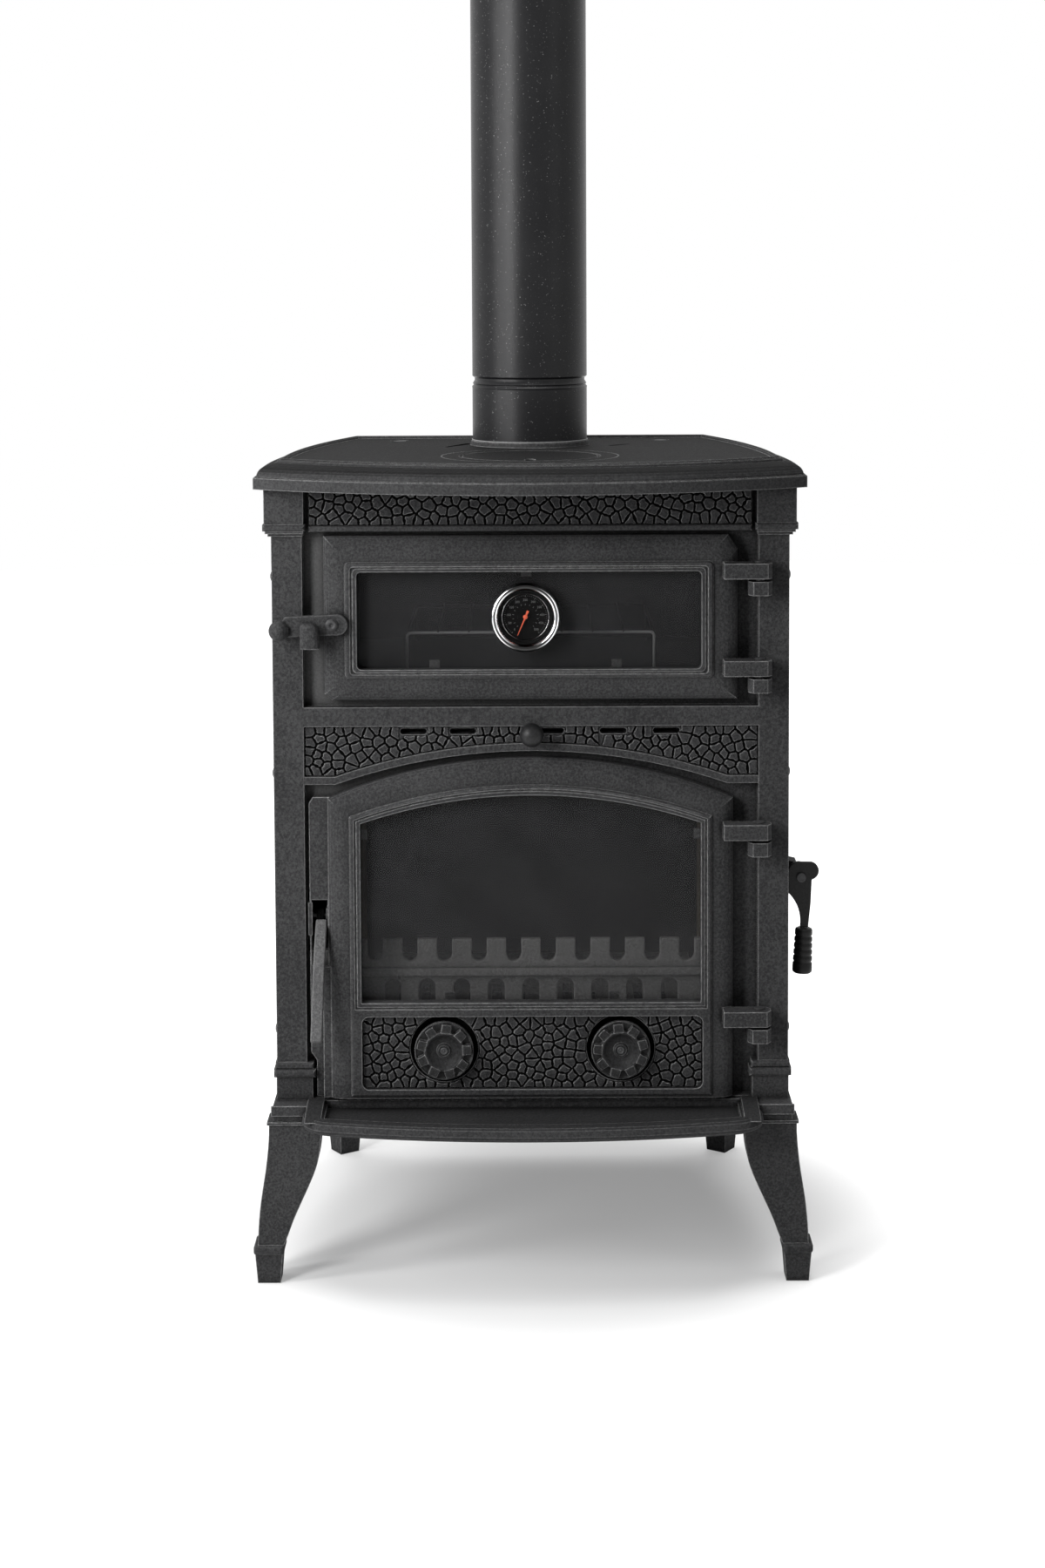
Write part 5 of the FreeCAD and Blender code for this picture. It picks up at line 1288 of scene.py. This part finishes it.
# %% [markdown]
# The side lever is a bent black plate with a ribbed round grip hanging from it.
# The plate is an outline, and the grip is one turned profile whose five ribs
# swell a little downwards.

# %% Side lever and its grip
BENT_PLATE = [(253.0, 393.0), (258.0, 400.0, "arc"), (266.0, 401.2), (276.0, 401.0), (283.3, 394.0, "arc"),
              (276.5, 383.5), (275.5, 360.0), (273.0, 335.5), (265.0, 335.5), (264.0, 352.0, "arc"),
              (252.6, 371.0), (251.6, 382.0, "arc")]
side_plate = piece("side_lever_plate", *slab(outline_of(BENT_PLATE, 10), 40.0, 45.0),
                   "side_lever", "cast_iron", finish=black_iron)
soften(side_plate, 1.0, 3)
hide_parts("side_lever")
grip_profile = [(0.0, 0.0), (6.6, 0.0), (8.0, 0.8), (8.6, 2.2)]
for row in range(5):
    start = 8.0 + row * 6.4
    swell = 8.7 + 0.2 * row
    grip_profile += [(swell, start - 1.6), (swell - 0.8, start - 0.6),
                     (swell - 0.8, start + 0.6), (swell + 0.1, start + 1.6)]
grip_profile += [(9.8, 41.5), (9.5, 43.6), (8.2, 44.8), (6.4, 45.0), (0.0, 45.0)]
grip_corners, grip_faces = spin(at(268.9, 42.5, 335.0), (-1.7, 0.0, -45.0), (0.0, 1.0, 0.0), grip_profile, 56)
grip = piece("side_lever_grip", grip_corners, grip_faces, "side_lever", "knob_steel", finish=black_iron)
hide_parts("side_grip")
print("side lever and grip made")

# %% [markdown]
# Both doors close on woven fibre rope pressed into a channel.  It shows only
# when a door is open, but then it is the detail that makes the door look real.
# Four flattened strands weave around each other along the whole loop.

# %% Rope seals
def along_loop(points, step):
    """Evenly spaced points, with their directions, around a closed loop in (x, z)."""
    lengths = [math.hypot(q[0] - p[0], q[1] - p[1]) for p, q in zip(points, points[1:] + points[:1])]
    total = sum(lengths)
    count = int(total / step)
    result = []
    edge, used = 0, 0.0
    for index in range(count):
        target = total * index / count
        while used + lengths[edge] < target:
            used += lengths[edge]
            edge += 1
        share = (target - used) / lengths[edge]
        p, q = points[edge], points[(edge + 1) % len(points)]
        result.append((p[0] + (q[0] - p[0]) * share, p[1] + (q[1] - p[1]) * share))
    return result


def round_corners(points, radius, steps=5):
    """A loop with its corners rounded."""
    result = []
    for before, here, after in zip(points[-1:] + points[:-1], points, points[1:] + points[:1]):
        result.extend(rounded_turn(before, here, after, radius, steps))
    return result


STRANDS, STRAND_SIDES = 4, 6
STEP_MM, WAVE_MM = 2.0, 17.0      # between two rings of a strand, and from wave to wave


def rope(name, loop_points, half_wide, middle, half_thick, body):
    path = along_loop(loop_points, STEP_MM)
    count = len(path)
    waves = round(count * STEP_MM / WAVE_MM)
    shapes = []
    for strand in range(STRANDS):
        corners = []
        for index, (x, z) in enumerate(path):
            after, before = path[(index + 1) % count], path[index - 1]
            tx, tz = after[0] - before[0], after[1] - before[1]
            length = math.hypot(tx, tz)
            nx, nz = tz / length, -tx / length
            turn = 2 * math.pi * (waves * index / count + strand / STRANDS)
            across = math.sin(turn) * (half_wide - 1.2)
            lift = math.cos(2 * turn) * (half_thick - 0.75)
            for side in range(STRAND_SIDES):
                angle = 2 * math.pi * side / STRAND_SIDES
                wide = across + math.cos(angle) * 1.25
                corners.append(at(x + nx * wide, middle + lift + math.sin(angle) * 0.75, z + nz * wide))
        faces = []
        for index in range(count):
            low, high = index * STRAND_SIDES, (index + 1) % count * STRAND_SIDES
            for side in range(STRAND_SIDES):
                after = (side + 1) % STRAND_SIDES
                faces.append([low + side, low + after, high + after, high + side])
        shapes.append((corners, faces))
    corners, faces = join_shapes(*shapes)
    return piece(name, corners, faces, body, "rope_seal")


oven_loop = round_corners([(-186.5, 583.5), (-186.5, 718.5), (186.5, 718.5), (186.5, 583.5)], 8.0)
oven_rope = rope("oven_door_rope", oven_loop, 3.4, 10.35, 1.32, "oven_door")
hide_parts("oven_door_seal")
FIRE_LOOP = [(-185.5, 183.8), (-185.5, 457.5), (0.0, 496.5, "arc"), (185.5, 457.5), (185.5, 183.8)]
arch_line = outline_of(FIRE_LOOP, 30)
fire_rope = rope("fire_door_rope", round_corners(arch_line, 6.0, 3), 3.6, 10.35, 1.32, "fire_door")
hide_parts("fire_door_seal")
print("rope seals woven")

# %% [markdown]
# The pipe's cut end shows a thin worn rim where it stands on its ring, and to
# its left and right the top plate has a short open seam, drawn as a strip of
# painted shade.  Both are a millimetre or two, but they are the only lines on
# a wide dark surface.

# %% Rim of the pipe and seams of the top
RIM = [(59.9, 0.0), (60.6, 0.1), (60.8, 0.6), (60.6, 1.1), (59.9, 1.2), (59.9, 0.0)]
rim_corners, rim_faces = spin(at(0.0, 240.0, 806.6), (0.0, 0.0, 1.0), (1.0, 0.0, 0.0), RIM, 96)
piece("pipe_rim", rim_corners, rim_faces, "stove", "flue_steel", finish=clip_steel)


def seam(start, end, wide):
    """A thin strip of painted shade on the top plate between two places (x, depth)."""
    along = Vector(end) - Vector(start)
    side = Vector((-along.y, along.x)).normalized() * (wide / 2)
    low = [at(x, behind, 801.45) for x, behind in (Vector(start) + side, Vector(start) - side,
                                                   Vector(end) - side * 0.3, Vector(end) + side * 0.3)]
    high = [corner + Vector((0.0, 0.0, 0.2 * MM)) for corner in low]
    return low + high, BAR_FACES


# Both seams are strips of painted shade.
corners, faces = join_shapes(seam((-63.0, 252.0), (-86.5, 201.0), 9.0),
                             seam((84.0, 214.0), (104.0, 236.0), 5.0))
piece("top_seams", corners, faces, "stove", "cast_iron", smooth=False, finish=painted_shade_sheet)
print("pipe rim and seams added")

# %% [markdown]
# The oven's wire stand is bent from two thick wires with thinner rods welded
# across.  It is swept along its bends, so that its corners are round as a
# bender leaves them.

# %% Oven stand
def tube(points, radius, sides=12):
    """A round wire along a line of points in mm: (x, depth, z)."""
    line = [at(*p) for p in points]
    corners, faces = [], []
    normal = None
    for index, here in enumerate(line):
        before = line[max(index - 1, 0)]
        after = line[min(index + 1, len(line) - 1)]
        along = (after - before).normalized()
        if normal is None:
            normal = along.orthogonal().normalized()
        normal = (normal - along * normal.dot(along)).normalized()
        other = along.cross(normal)
        for side in range(sides):
            turn = 2 * math.pi * side / sides
            corners.append(here + (normal * math.cos(turn) + other * math.sin(turn)) * (radius * MM))
    for low in range(0, sides * (len(line) - 1), sides):
        for side in range(sides):
            after = (side + 1) % sides
            faces.append([low + side, low + after, low + sides + after, low + sides + side])
    faces.append(list(range(sides)))
    faces.append([len(corners) - 1 - side for side in range(sides)])
    return corners, faces


def bend(points, radius, steps=7):
    """Round the corners of an open line in space."""
    result = [points[0]]
    for before, here, after in zip(points, points[1:], points[2:]):
        result.extend(rounded_turn(before, here, after, radius, steps))
    return result + [points[-1]]


STAND_HALF, STAND_FRONT, STAND_BACK = 122.0, 60.0, 260.0
WIRE, ROD = 1.5, 0.9      # radii


def stand_frame(behind):
    line = [(-STAND_HALF, behind, 590.3), (-STAND_HALF, behind, 628.0),
            (STAND_HALF, behind, 628.0), (STAND_HALF, behind, 590.3)]
    return tube(bend(line, 5.0), WIRE)


front_wire = piece("oven_stand", *stand_frame(STAND_FRONT), "oven_rack", "rack_steel")
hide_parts("oven_rack")
rods = [stand_frame(STAND_BACK)]
for x in (-STAND_HALF, STAND_HALF):
    rods.append(tube([(x, STAND_FRONT, 626.4), (x, STAND_BACK, 626.4)], WIRE))
for index in range(1, 8):
    x = -STAND_HALF + index * 30.5
    rods.append(tube([(x, STAND_FRONT - 1.5, 629.2), (x, STAND_BACK + 1.5, 629.2)], ROD))
corners, faces = join_shapes(*rods)
piece("oven_stand_rods", corners, faces, "oven_rack", "rack_steel", finish=dull_wire)
print("oven stand has", len(rods) + 1, "wires")

# %% [markdown]
# Behind the window a comb-shaped guard keeps the logs off the glass.  Its teeth
# stand up from a plate with a ledge across it, and below the ledge is a row of
# arches.  One outline holds them all, so a Bevel modifier can round every edge
# the way the foundry does.

# %% Log guard
GUARD_PITCH, GUARD_MIDDLE = 34.2, -1.0
GUARD_HALF, GUARD_TOP, GUARD_FOOT = 176.0, 326.5, 240.0
GAP_HALF, GAP_FOOT = 7.4, 304.0
ARCH_WIDE, ARCH_HEAD = 8.1, 287.0


def half_round(middle, radius, high, first, last, steps=10):
    """Points of an arc about a middle in x and a height, between two angles in degrees."""
    turns = [math.radians(first + (last - first) * i / steps) for i in range(steps + 1)]
    return [(middle + radius * math.cos(t), high + radius * math.sin(t)) for t in turns]


comb = [(-GUARD_HALF, GUARD_FOOT), (-GUARD_HALF, GUARD_TOP)]
for index in range(-5, 5):
    x = GUARD_MIDDLE + GUARD_PITCH * (index + 0.5)
    gap = half_round(x, GAP_HALF, GAP_FOOT + GAP_HALF, 180, 360)
    comb += [(x - GAP_HALF, GUARD_TOP)] + gap + [(x + GAP_HALF, GUARD_TOP)]
comb += [(GUARD_HALF, GUARD_TOP), (GUARD_HALF, GUARD_FOOT)]
for index in range(4, -5, -1):
    x = GUARD_MIDDLE + GUARD_PITCH * index
    arch = half_round(x, ARCH_WIDE, ARCH_HEAD - ARCH_WIDE, 0, 180)
    comb += [(x + ARCH_WIDE, GUARD_FOOT)] + arch + [(x - ARCH_WIDE, GUARD_FOOT)]
guard = piece("comb_guard", *slab(comb, 36.0, 44.0), "stove", "furnace_iron", smooth=False, finish=ash_iron)
soften(guard, 1.5, 3, 40.0)
ledge_line = [(-GUARD_HALF, 290.4), (-GUARD_HALF, 298.0), (GUARD_HALF, 298.0), (GUARD_HALF, 290.4)]
ledge = piece("guard_ledge", *slab(ledge_line, 31.2, 37.0), "stove", "furnace_iron", finish=ash_iron)
soften(ledge, 1.4, 3)
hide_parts("log_guard")
print("guard is", round(guard.dimensions.x * 1000), "mm wide")

# %% [markdown]
# The side panels are held by round-headed screws.  Each head is turned with a
# low dome and sits on the bowed panel, square to it.

# %% Side screws
DOME = [(0.0, 4.45), (2.2, 4.3), (4.2, 3.6), (5.5, 2.4), (6.0, 1.0), (6.0, -0.2), (0.0, -0.2)]
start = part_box("side_bolts")[1][0] / MM - 4.5
heads = []
for sign in (-1, 1):
    for z in (239.0, 494.0, 688.0):
        heads.append(spin(at(sign * start, 33.0, z), (sign, 0.0, 0.0), (0.0, 0.0, 1.0), DOME, 32))
corners, faces = join_shapes(*heads)
screws = piece("side_screws", corners, faces, "stove", "fasteners")
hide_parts("side_bolts")
print(len(heads), "side screws")
